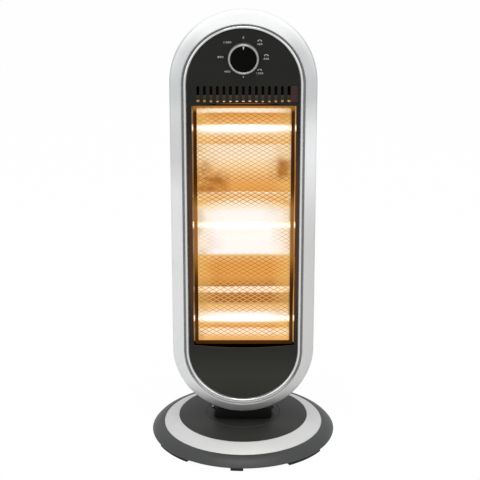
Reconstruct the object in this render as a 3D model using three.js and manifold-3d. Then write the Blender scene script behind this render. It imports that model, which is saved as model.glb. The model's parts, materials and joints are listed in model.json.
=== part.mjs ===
// Halogen tower heater: a tall rounded head with three lit quartz tubes behind an expanded-metal
// guard, on a low round base. The head leans back on a bolt through the neck and swivels on a
// turntable that a reversing motor drives through a pinion and a toothed disc.
// Millimetres, +Z up, front towards -Y. The origin is on the floor, under the middle of the base.

import * as THREE from "three";
import { mergeVertices } from "three/addons/utils/BufferGeometryUtils.js";
import Module from "manifold-3d";

const wasm = await Module();
wasm.setup();

const { PI, cos, sin, tan, acos, atan2, hypot, sqrt, max, min, abs } = Math;
const DEG = PI / 180;

// ---- Clearances ---------------------------------------------------------------------------------
const FIT = 0.3; // between pieces that touch
const RUN = 0.5; // beside pieces that move

// ---- Base ---------------------------------------------------------------------------------------
const FOOT_HEIGHT = 5; // floor to the lower edge of the base
const BASE_RADIUS = 139.4;
const RIM_RISE = 12.9; // lower edge to the outer edge of the silver ring
const RING_OUTER_R = 120.9;
const RING_WIDTH = 22.7;
const RING_RISE = 9.6;
const RING_THICK = 1.8;
const DOME_RISE = 5.4; // inner edge of the silver ring to the turntable
const BASE_WALL = 2.3;
const RIM_EDGE_RISE = 2.2; // lower edge to the widest line of the rim
const RIM_EDGE_DRAW = 1.6; // how far the lower edge draws in under it
const RIM_FOOT_WIDTH = 4; // flat underside of the rim
const RIM_BULGE = 2.2;
const DOME_BULGE = 0.8;
const RING_BULGE = 0.5;
const RING_LIP = 0.4; // the ring's outer edge lies this much lower, its inner edge half as much higher
const BASE_PLATE_THICK = 2;
const WEIGHT_INSET = 3.9; // outer edge of the silver ring to the weight
const WEIGHT_WIDTH = 23;
const WEIGHT_OPENING = 20; // half the gap at the back, where the pinion and the mains lead are
const WEIGHT_GAP = 0.6; // weight to the shell over it
const PAD_WIDTH = 17; // across a foot pad, along the radius
const PAD_INSET = 2.6; // base edge to pad
const PAD_SPAN = 28 * DEG;
const PAD_ANGLES = [-132, -48, 48, 132]; // degrees from the front
const FRONT_FOOT_SPAN = 8 * DEG;
const FEET_TURN = -4; // degrees: the base stands a little turned under the head
const BASE_SCREW_INSET = 10; // weight to the axes of the base screws
const BASE_SCREW_LENGTH = 9;
const SCREW_SHANK_R = 1.5;
const SCREW_HEAD_R = 3.4;
const SCREW_HEAD_THICK = 1.8;
const BOSS_WALL = 2.4; // plastic round a screw hole

// ---- Swivel -------------------------------------------------------------------------------------
const TURNTABLE_R = 57;
const TURNTABLE_THICK = 3.2;
const BEARING_WIDTH = 9;
const BEARING_THICK = 2.2;
const LEDGE_THICK = 2.8;
const HUB_R = 22;
const CABLE_BORE_R = 9;
const TABLE_EDGE = 0.6; // bevel round the turntable
const GEAR_SEAT_R = 17.5;
const GEAR_GAP = 1.4; // base plate to the gear
const GEAR_THICK = 3.6;
const GEAR_MODULE = 2;
const ADDENDUM = 0.9; // a tooth's height over the pitch circle, in modules
const DEDENDUM = 1.25;
const GEAR_TEETH = 60;
const PINION_TEETH = 12;
const TOOTH_THINNING = 0.35; // off each tooth, for running play
const SWIVEL_LIMIT = 37.5; // degrees each way
const SPARE_TEETH_ANGLE = 14; // degrees of teeth past the limit
const RETAINER_REACH = 1.8; // how far the retainer reaches under the bearing's ledge
const RETAINER_THICK = 2;
const MOTOR_GAP = 1.5; // retainer to motor
const MOTOR_MARGIN = 5.2; // motor to the inner edge of the silver ring
const MOTOR_LIFT = 2; // gear to motor
const MOTOR_EAR = 9; // motor's side to the tip of its ear
const MOTOR_EAR_WIDTH = 9;
const MOTOR_EAR_THICK = 1.6;
const MOTOR_EAR_DROP = 3; // motor's top to the ear's top
const EAR_POST_R = 3.6;
const MOTOR_SHAFT_R = 3;

// ---- Tip-over switch and cord inlet -------------------------------------------------------------
const TIP_SWITCH_GAP = 12; // weight to the side of the switch
const TIP_SWITCH_SIZE = [22, 12, 13];
const TIP_SWITCH_ROOF = 2;
const TIP_PLUNGER_R = 3.2;
const TIP_PLUNGER_NOSE = 0.8;
const GLAND_R = 4.6;
const GLAND_BORE_R = 3.2;
const GLAND_FLANGE_R = 6;
const GLAND_FLANGE_THICK = 2.2;
const GLAND_LENGTH = 5.2;

// ---- Neck and tilt ------------------------------------------------------------------------------
const NECK_WIDTH = 87;
const NECK_DEPTH = 56;
const NECK_RISE = 17;
const NECK_CORNER_R = 9;
const NECK_FLOOR = 1.6;
const NECK_END_WALL = 6; // front and back of the pocket in the neck
const NOSE_GAP = 0.8; // pocket's floor to the lug's nose
const TILT_BOLT_R = 3;
const TILT_HEAD_R = 4.6;
const TILT_HEAD_THICK = 2.6;
const TILT_NUT_THICK = 2;
const TILT_BOSS_WALL = 1.6; // boss round the bolt's head
const TILT_BOSS_STAND = 1.2; // boss over the neck's side
const LUG_WIDTH = 60;
const LUG_DEPTH = 26;
const LUG_NOSE_R = 6.5;
const LUG_HEIGHT = 40; // bottom of the head to the lug's roots inside its outline

// ---- Head ---------------------------------------------------------------------------------------
const HEAD_WIDTH = 210;
const HEAD_HEIGHT = 616;
const HEAD_GAP = 1.5; // neck to the bottom of the head
const HEAD_FRONT_Y = -45;
const HEAD_BACK_Y = 47;
const SKIRT_DEPTH = 15; // front-to-back depth of the bezel's outside
const BEZEL_WALL = 2.4;
const BAND_WIDTH = 17; // silver band of the bezel
const BAND_EDGE_R = 4;
const BAND_FALL = 1.2; // the band's inner edge lies this far behind its crown
const GROOVE_WIDTH = 2.5;
const GROOVE_DEPTH = 5; // crown to the floor of the groove
const RIM_WIDTH = 4.5; // bright inner rim
const RIM_STAND = 4.2; // its height over the groove's floor
const PANEL_SINK = 4; // crown of the bezel to the panel's face
const PANEL_THICK = 2.5;
const LEDGE_WIDTH = 4; // bezel ledge behind the panel's edge
const LEDGE_DEPTH = 2.2;
const SHELL_WALL = 2.2;
const SHELL_BACK_INSET = 48; // outline to the edge of the flat back

// ---- Front panel --------------------------------------------------------------------------------
const WINDOW_TOP = 138.5; // top of the head to the window's upper corners
const WINDOW_FOOT = 110; // bottom of the head to its lower corners
const WINDOW_MARGIN = 5.2; // panel's edge to the window
const WINDOW_RISE = 4.5; // arch of its upper and lower edges
const SLOT_COUNT = 15;
const SLOT_WIDTH = 4;
const SLOT_HEIGHT = 24;
const SLOT_GAP = 1; // top of the window's arch to the slots
const LENS_WIDTH = 9.6;
const LENS_MARGIN = 4; // panel's edge to the lens
const LENS_GAP = 0.7; // lens to the nearest slot
const LENS_STAND = 0.6;
const LENS_CORNER_R = 1;
const LENS_FLANGE = 2.5; // behind the panel, above and below the lens
const LENS_FLANGE_THICK = 1.4;
const KNOB_DROP = 68.4; // top of the head to the knob's axis

// ---- Guard --------------------------------------------------------------------------------------
const GUARD_SIDE_GAP = 2.9; // window's side to the guard
const GUARD_END_GAP = 0.1;
const GUARD_LIFT = 1.85; // middle of the window to the middle of the guard
const GUARD_BAR = 4.6;
const GUARD_THICK = 2.8;
const GUARD_CORNER_R = 3;
const MESH_THICK = 1;
const MESH_COLUMNS = 4;
const MESH_ROWS = 18;
const MESH_STRAND = 2.2;

// ---- Lamps and reflector ------------------------------------------------------------------------
const LAMP_COUNT = 3;
const LAMP_MARGIN = 36.4; // window's lower corners to the lowest lamp, and the same above
const LAMP_LIFT = 0.75; // middle of the window to the middle lamp
const LAMP_GAP = 1.5; // bezel's back to the lamps' caps
const TUBE_R = 5;
const TUBE_WALL = 1;
const FILAMENT_R = 1.2;
const CAP_R = 7.5;
const CAP_LENGTH = 17;
const CAP_SOCKET = 6; // depth of the tube in its cap
const CAP_EDGE = 1;
const TROUGH_HALF = 46;
const TROUGH_DEPTH = 30;
const REFLECTOR_BEYOND = 0.5; // window's side to the reflector's
const REFLECTOR_BEHIND = 9; // lamps' axis to the reflector's flats
const REFLECTOR_SHEET = 1.2;
const REFLECTOR_HEM = 6;
const CAP_APART = 2; // reflector's cheek to the caps
const BRACKET_GRIP = 10; // a cap's open end to the bracket
const BRACKET_SHEET = 1.2;
const BRACKET_MARGIN = 8; // past the caps at either end
const BRACKET_TAB = 34;
const BRACKET_FLAP = 9;
const BRACKET_EAR = 18; // height of the ears that the screws hold
const HEAD_SCREW_APART = 4.6; // bracket to the screws' axes
const HEAD_SCREW_GRIP = 13; // plastic under a screw's head
const HEAD_SCREW_LENGTH = 20;
const HEAD_POST_RISE = 14; // how far a screw's post goes on round its well
const SHIELD_SIDE = 12; // reflector's side to the shield's
const SHIELD_END = 3.4; // reflector's end to the shield's
const SHIELD_SHEET = 0.8;
const SHIELD_FLANGE = 5;
const SHIELD_STANDOFF = 20; // from the inside of the back
const STANDOFF_R = 3.6;
const STANDOFF_SIDE = 13.5; // from the shield's side
const STANDOFF_END = 8; // from the shield's end

// ---- Back of the head ---------------------------------------------------------------------------
const LOUVRE_ROWS = 5;
const LOUVRE_PITCH = 11;
const LOUVRE_LENGTH = 42;
const LOUVRE_HEIGHT = 4.6;
const LOUVRE_APART = 8; // between the two columns
const LOUVRE_TOP = 165; // top of the head to the middle of the upper group
const LOUVRE_FOOT = 146; // bottom of the head to the middle of the lower group
const GRIP_WIDTH = 92;
const GRIP_HEIGHT = 30;
const GRIP_DEPTH = 24;
const GRIP_DROP = 84;
const GRIP_CORNER_R = 9;

// ---- Controls -----------------------------------------------------------------------------------
const KNOB_R = 22;
const KNOB_RING_WIDTH = 3.3;
const KNOB_STAND = 10.6; // panel to the front of the ring
const KNOB_DISH = 1.2; // the face lies behind the ring
const POINTER_LENGTH = 5.9;
const POINTER_WIDTH = 2.8;
const POINTER_THICK = 0.7;
const SHAFT_R = 3;
const SHAFT_LENGTH = 24;
const SWITCH_SIZE = [30, 19, 30];
const BUSH_R = 5.4;
const CUTOUT_R = 7.5;
const CUTOUT_THICK = 8;
const CUTOUT_X = 32;
const TERMINAL_SIZE = [34, 15, 16];
const TERMINAL_BELOW = 37; // centre of the head's lower end to the terminal block

// ---- Derived places -----------------------------------------------------------------------------
const RING_OUTER_Z = FOOT_HEIGHT + RIM_RISE;
const RING_INNER_R = RING_OUTER_R - RING_WIDTH;
const RING_INNER_Z = RING_OUTER_Z + RING_RISE;
const DOME_TOP_Z = RING_INNER_Z + DOME_RISE;
const RING_SEAT_DROP = RING_THICK + FIT; // edges of the base to the ring's seat
const RIM_UNDER_R = BASE_RADIUS - RIM_EDGE_DRAW;
const WELL_R = TURNTABLE_R + FIT; // opening in the top of the base
const TABLE_UNDER_Z = DOME_TOP_Z - TURNTABLE_THICK;
const BEARING_Z = TABLE_UNDER_Z - FIT - BEARING_THICK;
const LEDGE_TOP_Z = BEARING_Z - FIT;
const LEDGE_UNDER_Z = LEDGE_TOP_Z - LEDGE_THICK;
const BEARING_OUTER_R = WELL_R - FIT;
const BEARING_INNER_R = BEARING_OUTER_R - BEARING_WIDTH;
const LEDGE_INNER_R = BEARING_INNER_R - FIT;
const RETAINER_R = LEDGE_INNER_R + RETAINER_REACH;
const PLATE_Z = FOOT_HEIGHT + 2 * FIT;
const PLATE_TOP_Z = PLATE_Z + BASE_PLATE_THICK;
const WEIGHT_Z = PLATE_TOP_Z + FIT;
const WEIGHT_TOP_Z = RING_OUTER_Z - RING_SEAT_DROP - BASE_WALL - WEIGHT_GAP;
const WEIGHT_OUTER_R = RING_OUTER_R - WEIGHT_INSET;
const WEIGHT_INNER_R = WEIGHT_OUTER_R - WEIGHT_WIDTH;
const BASE_SCREW_R = WEIGHT_INNER_R - BASE_SCREW_INSET;
const GEAR_Z = PLATE_TOP_Z + GEAR_GAP;
const GEAR_R = (GEAR_MODULE * GEAR_TEETH) / 2;
const PINION_R = (GEAR_MODULE * PINION_TEETH) / 2;
const PINION_Y = GEAR_R + PINION_R;
const MOTOR_Z = GEAR_Z + GEAR_THICK + MOTOR_LIFT;
const MOTOR_TOP_Z = LEDGE_UNDER_Z - FIT;
const MOTOR_R = min(PINION_Y - RETAINER_R - MOTOR_GAP, RING_INNER_R - MOTOR_MARGIN - PINION_Y);
const MOTOR_EAR_REACH = MOTOR_R + MOTOR_EAR;
const TIP_SWITCH_Y = -(WEIGHT_INNER_R - TIP_SWITCH_GAP - TIP_SWITCH_SIZE[1] / 2);
const NECK_Z = DOME_TOP_Z + FIT;
const NECK_TOP_Z = DOME_TOP_Z + NECK_RISE;
const TILT_Z = NECK_Z + NECK_FLOOR + NOSE_GAP + LUG_NOSE_R;
const HEAD_R = HEAD_WIDTH / 2;
const HEAD_CENTRE_Z = NECK_TOP_Z + HEAD_GAP + HEAD_HEIGHT / 2;
const HEAD_STRAIGHT = HEAD_HEIGHT / 2 - HEAD_R; // centre to where the round ends start
const SKIRT_Y = HEAD_FRONT_Y + SKIRT_DEPTH;
const GROOVE_Y = HEAD_FRONT_Y + GROOVE_DEPTH;
const PANEL_Y = HEAD_FRONT_Y + PANEL_SINK;
const PANEL_BACK_Y = PANEL_Y + PANEL_THICK;
const RIM_INSET = BAND_WIDTH + GROOVE_WIDTH;
const PANEL_INSET = RIM_INSET + RIM_WIDTH;
const BEZEL_BACK_Y = PANEL_BACK_Y + FIT + LEDGE_DEPTH;
const LAMP_Y = BEZEL_BACK_Y + LAMP_GAP + CAP_R;
const REFLECTOR_Y = LAMP_Y + REFLECTOR_BEHIND;
const REFLECTOR_BACK_Y = REFLECTOR_Y + REFLECTOR_SHEET;
const INNER_BACK_Y = HEAD_BACK_Y - SHELL_WALL;
const TAB_Y = REFLECTOR_BACK_Y + FIT;
const HEAD_SCREW_SEAT_Y = TAB_Y + BRACKET_SHEET + FIT + HEAD_SCREW_GRIP;

// Places in the head's own frame, whose middle is the middle of its outline.
const PANEL_HALF = HEAD_R - PANEL_INSET - FIT;
const WINDOW_HALF = PANEL_HALF - WINDOW_MARGIN;
const WINDOW_HEIGHT = HEAD_HEIGHT - WINDOW_TOP - WINDOW_FOOT;
const WINDOW_Z = (WINDOW_FOOT - WINDOW_TOP) / 2;
const SLOT_Z = WINDOW_Z + WINDOW_HEIGHT / 2 + WINDOW_RISE + SLOT_GAP + SLOT_HEIGHT / 2;
const LENS_X = PANEL_HALF - LENS_MARGIN - LENS_WIDTH / 2;
const SLOT_REACH = LENS_X - LENS_WIDTH / 2 - LENS_GAP - SLOT_WIDTH / 2; // middle to the last slot
const SLOT_PITCH = (2 * SLOT_REACH) / (SLOT_COUNT - 1);
const KNOB_Z = HEAD_HEIGHT / 2 - KNOB_DROP;
const GUARD_WIDTH = 2 * (WINDOW_HALF - GUARD_SIDE_GAP);
const GUARD_HEIGHT = WINDOW_HEIGHT - 2 * GUARD_END_GAP;
const GUARD_Z = WINDOW_Z + GUARD_LIFT;
const GUARD_Y = PANEL_BACK_Y + FIT;
const LAMP_Z = WINDOW_Z + LAMP_LIFT;
const LAMP_PITCH = (WINDOW_HEIGHT - 2 * LAMP_MARGIN) / (LAMP_COUNT - 1);
const REFLECTOR_HALF = WINDOW_HALF + REFLECTOR_BEYOND;
const REFLECTOR_REACH = (LAMP_PITCH * (LAMP_COUNT - 1)) / 2 + TROUGH_HALF + REFLECTOR_HEM;
const CAP_START = REFLECTOR_HALF + CAP_APART;
const TUBE_HALF = CAP_START + CAP_SOCKET;
const BRACKET_X = CAP_START + BRACKET_GRIP;
const HEAD_SCREW_X = BRACKET_X + HEAD_SCREW_APART;
const SHIELD_WIDTH = 2 * (REFLECTOR_HALF - SHIELD_SIDE);
const SHIELD_HEIGHT = 2 * (REFLECTOR_REACH - SHIELD_END);
const GRIP_Z = HEAD_HEIGHT / 2 - GRIP_DROP;
const LOUVRE_HEIGHTS = [HEAD_HEIGHT / 2 - LOUVRE_TOP, LOUVRE_FOOT - HEAD_HEIGHT / 2];
const TERMINAL_Z = -HEAD_STRAIGHT - TERMINAL_BELOW;

// ---- Finishes -----------------------------------------------------------------------------------
const finish = (color, roughness, metalness, more = {}) => ({ color, roughness, metalness, ...more });
const SILVER = finish(0xc9cacc, 0.38, 0.55);
const BRIGHT = finish(0xd9dadb, 0.2, 0.9);
const BLACK = finish(0x262725, 0.42, 0);
const DARK_PLASTIC = finish(0x3b3b3c, 0.5, 0);
const RUBBER = finish(0x1b1b1b, 0.85, 0);
const STEEL = finish(0x9a9b9d, 0.35, 0.9);
const HOT_STEEL = finish(0x6b4a2a, 0.4, 0.8);
const POLISHED = finish(0xf0c890, 0.15, 1);
const IRON = finish(0x3a3a3c, 0.7, 0.7);
const CERAMIC = finish(0xece4d4, 0.6, 0);
const QUARTZ = finish(0xfff0d0, 0.05, 0, { emissive: 0xffc070, transparent: true, opacity: 0.6 });
const GLOWING = finish(0xffd9a0, 0.5, 0, { emissive: 0xffb050 });
const RED_LENS = finish(0x5a1a18, 0.2, 0);
const WHITE_PRINT = finish(0xf2f2f0, 0.5, 0);
const NYLON = finish(0xe6e2d8, 0.5, 0);

// ---- Geometry helpers ---------------------------------------------------------------------------
// Vertices shared, triangles without area dropped, faces pointing out.
function weld(geometry) {
  const bare = new THREE.BufferGeometry();
  bare.setAttribute("position", geometry.getAttribute("position"));
  bare.setIndex(geometry.index);
  const merged = mergeVertices(bare, 1e-4);
  const old = merged.index.array;
  const place = merged.getAttribute("position");
  const corner = (i) => new THREE.Vector3().fromBufferAttribute(place, i);
  const kept = [];
  let volume = 0;
  for (let i = 0; i < old.length; i += 3) {
    const [a, b, c] = [old[i], old[i + 1], old[i + 2]];
    if (a === b || b === c || c === a) continue;
    kept.push(a, b, c);
    volume += corner(a).dot(corner(b).cross(corner(c)));
  }
  if (volume < 0) kept.reverse();
  merged.setIndex(kept);
  return merged;
}

function solid(geometry) {
  const welded = weld(geometry);
  const vertProperties = new Float32Array(welded.getAttribute("position").array);
  const triVerts = new Uint32Array(welded.index.array);
  return new wasm.Manifold(new wasm.Mesh({ numProp: 3, vertProperties, triVerts }));
}

function geometryOf(body) {
  const { vertProperties, triVerts } = body.getMesh();
  const geometry = new THREE.BufferGeometry();
  geometry.setAttribute("position", new THREE.BufferAttribute(new Float32Array(vertProperties), 3));
  geometry.setIndex(new THREE.BufferAttribute(new Uint32Array(triVerts), 1));
  return geometry;
}

const join = (first, ...rest) => rest.reduce((sum, next) => sum.add(next), first);
const cut = (first, ...rest) => rest.reduce((sum, next) => sum.subtract(next), first);

// A flat outline pushed along one axis. prismY draws it as seen from the front, prismX as
// seen from the right-hand side, prismZ as seen from above.
function prismZ(shape, low, high, curveSegments = 8) {
  const options = { depth: high - low, bevelEnabled: false, curveSegments };
  return solid(new THREE.ExtrudeGeometry(shape, options).translate(0, 0, low));
}

function prismY(shape, low, high, curveSegments = 8) {
  const options = { depth: high - low, bevelEnabled: false, curveSegments };
  const geometry = new THREE.ExtrudeGeometry(shape, options);
  return solid(geometry.rotateX(PI / 2).translate(0, high, 0));
}

function prismX(shape, low, high, curveSegments = 8) {
  const options = { depth: high - low, bevelEnabled: false, curveSegments };
  const geometry = new THREE.ExtrudeGeometry(shape, options);
  const turn = new THREE.Matrix4().makeBasis(
    new THREE.Vector3(0, 1, 0), new THREE.Vector3(0, 0, 1), new THREE.Vector3(1, 0, 0));
  return solid(geometry.applyMatrix4(turn).translate(low, 0, 0));
}

function box(low, high) {
  const size = high.map((value, axis) => value - low[axis]);
  const middle = high.map((value, axis) => (value + low[axis]) / 2);
  return solid(new THREE.BoxGeometry(...size).translate(...middle));
}

function revolve(points, segments) {
  const outline = points.map(([r, z]) => new THREE.Vector2(r, z));
  return solid(new THREE.LatheGeometry(outline, segments).rotateX(PI / 2));
}

// A round bar or ring along Z, or turned to lie along X or Y.
function disc(r, low, high, segments = 24, axis = "z") {
  return turned(revolve([[0, low], [r, low], [r, high], [0, high]], segments), axis);
}

function ring(inner, outer, low, high, segments = 24, axis = "z") {
  const outline = [[inner, low], [outer, low], [outer, high], [inner, high], [inner, low]];
  return turned(revolve(outline, segments), axis);
}

function turned(body, axis) {
  if (axis === "x") return body.rotate([0, 90, 0]);
  if (axis === "y") return body.rotate([-90, 0, 0]);
  return body;
}

function roundedRect(width, height, radius, x = 0, y = 0) {
  const [a, b] = [width / 2, height / 2];
  const shape = new THREE.Shape();
  shape.absarc(x + a - radius, y + b - radius, radius, 0, PI / 2);
  shape.absarc(x - a + radius, y + b - radius, radius, PI / 2, PI);
  shape.absarc(x - a + radius, y - b + radius, radius, PI, 1.5 * PI);
  shape.absarc(x + a - radius, y - b + radius, radius, 1.5 * PI, 2 * PI);
  return shape;
}

// A round hole or outline drawn with a set number of sides.
function circlePath(r, x, z, steps = 16) {
  return new THREE.Path(new THREE.Path().absarc(x, z, r, 0, 2 * PI).getPoints(steps / 2));
}

// ---- The head's outline: upright sides with half-round ends -------------------------------------
const END_STEPS = 14;

function headOutline(inset) {
  const radius = HEAD_R - inset;
  const points = [];
  for (const side of [1, -1]) {
    for (let step = 0; step <= END_STEPS; step += 1) {
      const angle = (step / END_STEPS) * PI + (side < 0 ? PI : 0);
      points.push([radius * cos(angle), side * HEAD_STRAIGHT + radius * sin(angle)]);
    }
  }
  return points;
}

function headShape(inset) {
  return new THREE.Shape(headOutline(inset).map(([x, z]) => new THREE.Vector2(x, z)));
}

// A closed section [inset, y] carried round the head's outline.
function headRing(section) {
  const rings = section.map(([inset, y]) => headOutline(inset).map(([x, z]) => [x, y, z]));
  return solid(gridGeometry(rings, true));
}

// A solid through outlines [inset, y] from the front to the back, flat at both ends.
function headLoft(section) {
  const rings = section.map(([inset, y]) => headOutline(inset).map(([x, z]) => [x, y, z]));
  return solid(gridGeometry(rings, false));
}

function gridGeometry(rings, closed) {
  const across = rings[0].length;
  const positions = rings.flat(2);
  const index = [];
  const last = closed ? rings.length : rings.length - 1;
  for (let i = 0; i < last; i += 1) {
    for (let j = 0; j < across; j += 1) {
      const k = (j + 1) % across;
      const next = (i + 1) % rings.length;
      const [a, b, c, d] = [i * across + j, i * across + k, next * across + k, next * across + j];
      index.push(a, b, c, a, c, d);
    }
  }
  if (!closed) {
    const tail = (rings.length - 1) * across;
    for (let j = 1; j < across - 1; j += 1) {
      index.push(0, j + 1, j, tail, tail + j, tail + j + 1);
    }
  }
  const geometry = new THREE.BufferGeometry();
  geometry.setAttribute("position", new THREE.Float32BufferAttribute(positions, 3));
  geometry.setIndex(index);
  return geometry;
}

// ---- Scene --------------------------------------------------------------------------------------
const heater = new THREE.Group();
const base = new THREE.Group();
const table = new THREE.Group();
const head = new THREE.Group();
head.position.z = HEAD_CENTRE_Z;
const dial = new THREE.Group();
dial.position.set(0, PANEL_Y, KNOB_Z);
head.add(dial);
heater.add(base, table, head);

function put(group, name, body, look) {
  const mesh = new THREE.Mesh(geometryOf(body), new THREE.MeshStandardMaterial(look));
  mesh.name = name;
  group.add(mesh);
  return mesh;
}

// ---- Base ---------------------------------------------------------------------------------------
const BASE_SEGMENTS = 36;

// Points of an arc that bulges out between two places, as [r, z].
function bulge(from, to, height, steps) {
  const [dr, dz] = [to[0] - from[0], to[1] - from[1]];
  const length = hypot(dr, dz);
  const points = [];
  for (let step = 0; step <= steps; step += 1) {
    const t = step / steps;
    const lift = 4 * height * t * (1 - t);
    points.push([from[0] + dr * t + (dz / length) * lift, from[1] + dz * t - (dr / length) * lift]);
  }
  return points;
}

const RIM_TOP = [RING_OUTER_R + FIT, RING_OUTER_Z];
const RIM_EDGE = [BASE_RADIUS, FOOT_HEIGHT + RIM_EDGE_RISE];
const DOME_START = [RING_INNER_R - FIT, RING_INNER_Z];
const DOME_END = [WELL_R, DOME_TOP_Z - FIT];

// Height of the middle of the dome's wall at a radius.
function domeWallZ(r) {
  const t = (DOME_START[0] - r) / (DOME_START[0] - DOME_END[0]);
  return DOME_START[1] + (DOME_END[1] - DOME_START[1]) * t - BASE_WALL / 2;
}

function baseShell() {
  const slant = BASE_WALL * 0.6; // the wall's share across, where it slopes
  const inner = (points) => points.map(([r, z]) => [r - slant, z - BASE_WALL]);
  const wellWall = WELL_R + BASE_WALL;
  const footInner = RIM_UNDER_R - RIM_FOOT_WIDTH;
  const outline = [
    [RIM_UNDER_R, FOOT_HEIGHT],
    ...bulge(RIM_EDGE, RIM_TOP, RIM_BULGE, 4),
    [RIM_TOP[0], RIM_TOP[1] - RING_SEAT_DROP],
    [DOME_START[0], DOME_START[1] - RING_SEAT_DROP],
    ...bulge(DOME_START, DOME_END, DOME_BULGE, 2),
    [WELL_R, LEDGE_TOP_Z],
    [LEDGE_INNER_R, LEDGE_TOP_Z],
    [LEDGE_INNER_R, LEDGE_UNDER_Z],
    [wellWall, LEDGE_UNDER_Z],
    [wellWall, DOME_END[1] - BASE_WALL],
    [DOME_START[0] - BASE_WALL, DOME_START[1] - BASE_WALL],
    [DOME_START[0] - BASE_WALL, DOME_START[1] - RING_SEAT_DROP - BASE_WALL / 2],
    [RIM_TOP[0] - BASE_WALL / 2, RIM_TOP[1] - RING_SEAT_DROP - BASE_WALL],
    ...inner(bulge(RIM_EDGE, RIM_TOP, RIM_BULGE, 3)).reverse().slice(1, -1),
    [footInner, PLATE_TOP_Z + FIT],
    [footInner, FOOT_HEIGHT],
    [RIM_UNDER_R, FOOT_HEIGHT],
  ];
  let body = revolve(outline, BASE_SEGMENTS);
  const screwEnd = PLATE_Z - FIT + BASE_SCREW_LENGTH;
  for (const [x, y] of screwPlaces(BASE_SCREW_R)) {
    const boss = disc(SCREW_SHANK_R + BOSS_WALL, PLATE_TOP_Z + FIT, domeWallZ(BASE_SCREW_R), 10);
    const hole = disc(SCREW_SHANK_R + FIT, FOOT_HEIGHT, screwEnd + RUN, 8);
    body = body.add(boss.translate([x, y, 0])).subtract(hole.translate([x, y, 0]));
  }
  const earX = MOTOR_EAR_REACH - MOTOR_EAR_WIDTH / 2;
  for (const side of [-1, 1]) {
    const post = disc(EAR_POST_R, MOTOR_TOP_Z - MOTOR_EAR_DROP + FIT, domeWallZ(hypot(earX, PINION_Y)), 10);
    body = body.add(post.translate([side * earX, PINION_Y, 0]));
  }
  const sleeve = disc(GLAND_R + FIT, GLAND_Y - GLAND_LENGTH - FIT, BASE_RADIUS + 1, 14, "y");
  const flange = disc(GLAND_FLANGE_R + FIT, GLAND_Y - GLAND_FLANGE_THICK - FIT, BASE_RADIUS + 1, 14, "y");
  return body.subtract(join(sleeve, flange).translate([0, 0, GLAND_Z]));
}

const screwPlaces = (r) => [45, 135, 225, 315].map((a) => [r * cos(a * DEG), r * sin(a * DEG)]);
const GLAND_Z = FOOT_HEIGHT + GLAND_FLANGE_R;
const GLAND_Y = BASE_RADIUS - FIT; // outer end of the gland

put(base, "base_shell", baseShell(), DARK_PLASTIC);

function baseTrimRing() {
  const [outerZ, innerZ] = [RING_OUTER_Z, RING_INNER_Z];
  const under = [[RING_INNER_R, innerZ - RING_THICK], [RING_OUTER_R, outerZ - RING_THICK]];
  const edges = [[RING_OUTER_R, outerZ - RING_LIP], [RING_INNER_R, innerZ + RING_LIP / 2]];
  const top = bulge(...edges, RING_BULGE, 3);
  return revolve([...under, ...top, under[0]], BASE_SEGMENTS);
}
put(base, "base_trim_ring", baseTrimRing(), SILVER);

const PLATE_R = RIM_UNDER_R - RIM_FOOT_WIDTH - FIT;

function basePlate() {
  let body = disc(PLATE_R, PLATE_Z, PLATE_TOP_Z, BASE_SEGMENTS);
  for (const [x, y] of screwPlaces(BASE_SCREW_R)) {
    const hole = disc(SCREW_SHANK_R + FIT, PLATE_Z - 1, PLATE_TOP_Z + 1, 8);
    body = body.subtract(hole.translate([x, y, 0]));
  }
  const plungerHole = disc(TIP_PLUNGER_R + RUN, PLATE_Z - 1, PLATE_TOP_Z + 1, 16);
  return body.subtract(plungerHole.translate([0, TIP_SWITCH_Y, 0]));
}
put(base, "base_plate", basePlate(), BLACK);

// Iron weight, a flat ring that is open at the back.
function baseWeight() {
  const opening = [[-WEIGHT_OPENING, 0, WEIGHT_Z - 1], [WEIGHT_OPENING, BASE_RADIUS, WEIGHT_TOP_Z + 1]];
  return cut(ring(WEIGHT_INNER_R, WEIGHT_OUTER_R, WEIGHT_Z, WEIGHT_TOP_Z, 26), box(...opening));
}
put(base, "base_weight", baseWeight(), IRON);

// A pad of the given span under the plate, standing at an angle from the front.
function footPad(angle, span) {
  const [outer, inner] = [BASE_RADIUS - PAD_INSET, BASE_RADIUS - PAD_INSET - PAD_WIDTH];
  const middle = -PI / 2 + (angle + FEET_TURN) * DEG;
  const shape = new THREE.Shape();
  shape.absarc(0, 0, outer, middle - span / 2, middle + span / 2, false);
  shape.absarc(0, 0, inner, middle + span / 2, middle - span / 2, true);
  return prismZ(shape, 0, FOOT_HEIGHT - FIT, 4);
}
PAD_ANGLES.forEach((angle, i) => put(base, `foot_pad_${i + 1}`, footPad(angle, PAD_SPAN), RUBBER));
put(base, "front_foot", footPad(0, FRONT_FOOT_SPAN), RUBBER);

// A pan-head screw along Z with its head at the low end.
function screw(length) {
  const end = SCREW_HEAD_THICK + length;
  const outline = [
    [0, 0], [SCREW_HEAD_R * 0.8, 0], [SCREW_HEAD_R, SCREW_HEAD_THICK], [SCREW_SHANK_R, SCREW_HEAD_THICK],
    [SCREW_SHANK_R, end], [0, end],
  ];
  return revolve(outline, 8);
}
screwPlaces(BASE_SCREW_R).forEach(([x, y], i) => {
  const mesh = put(base, `base_screw_${i + 1}`, screw(BASE_SCREW_LENGTH), STEEL);
  mesh.position.set(x, y, PLATE_Z - FIT - SCREW_HEAD_THICK);
});

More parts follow.
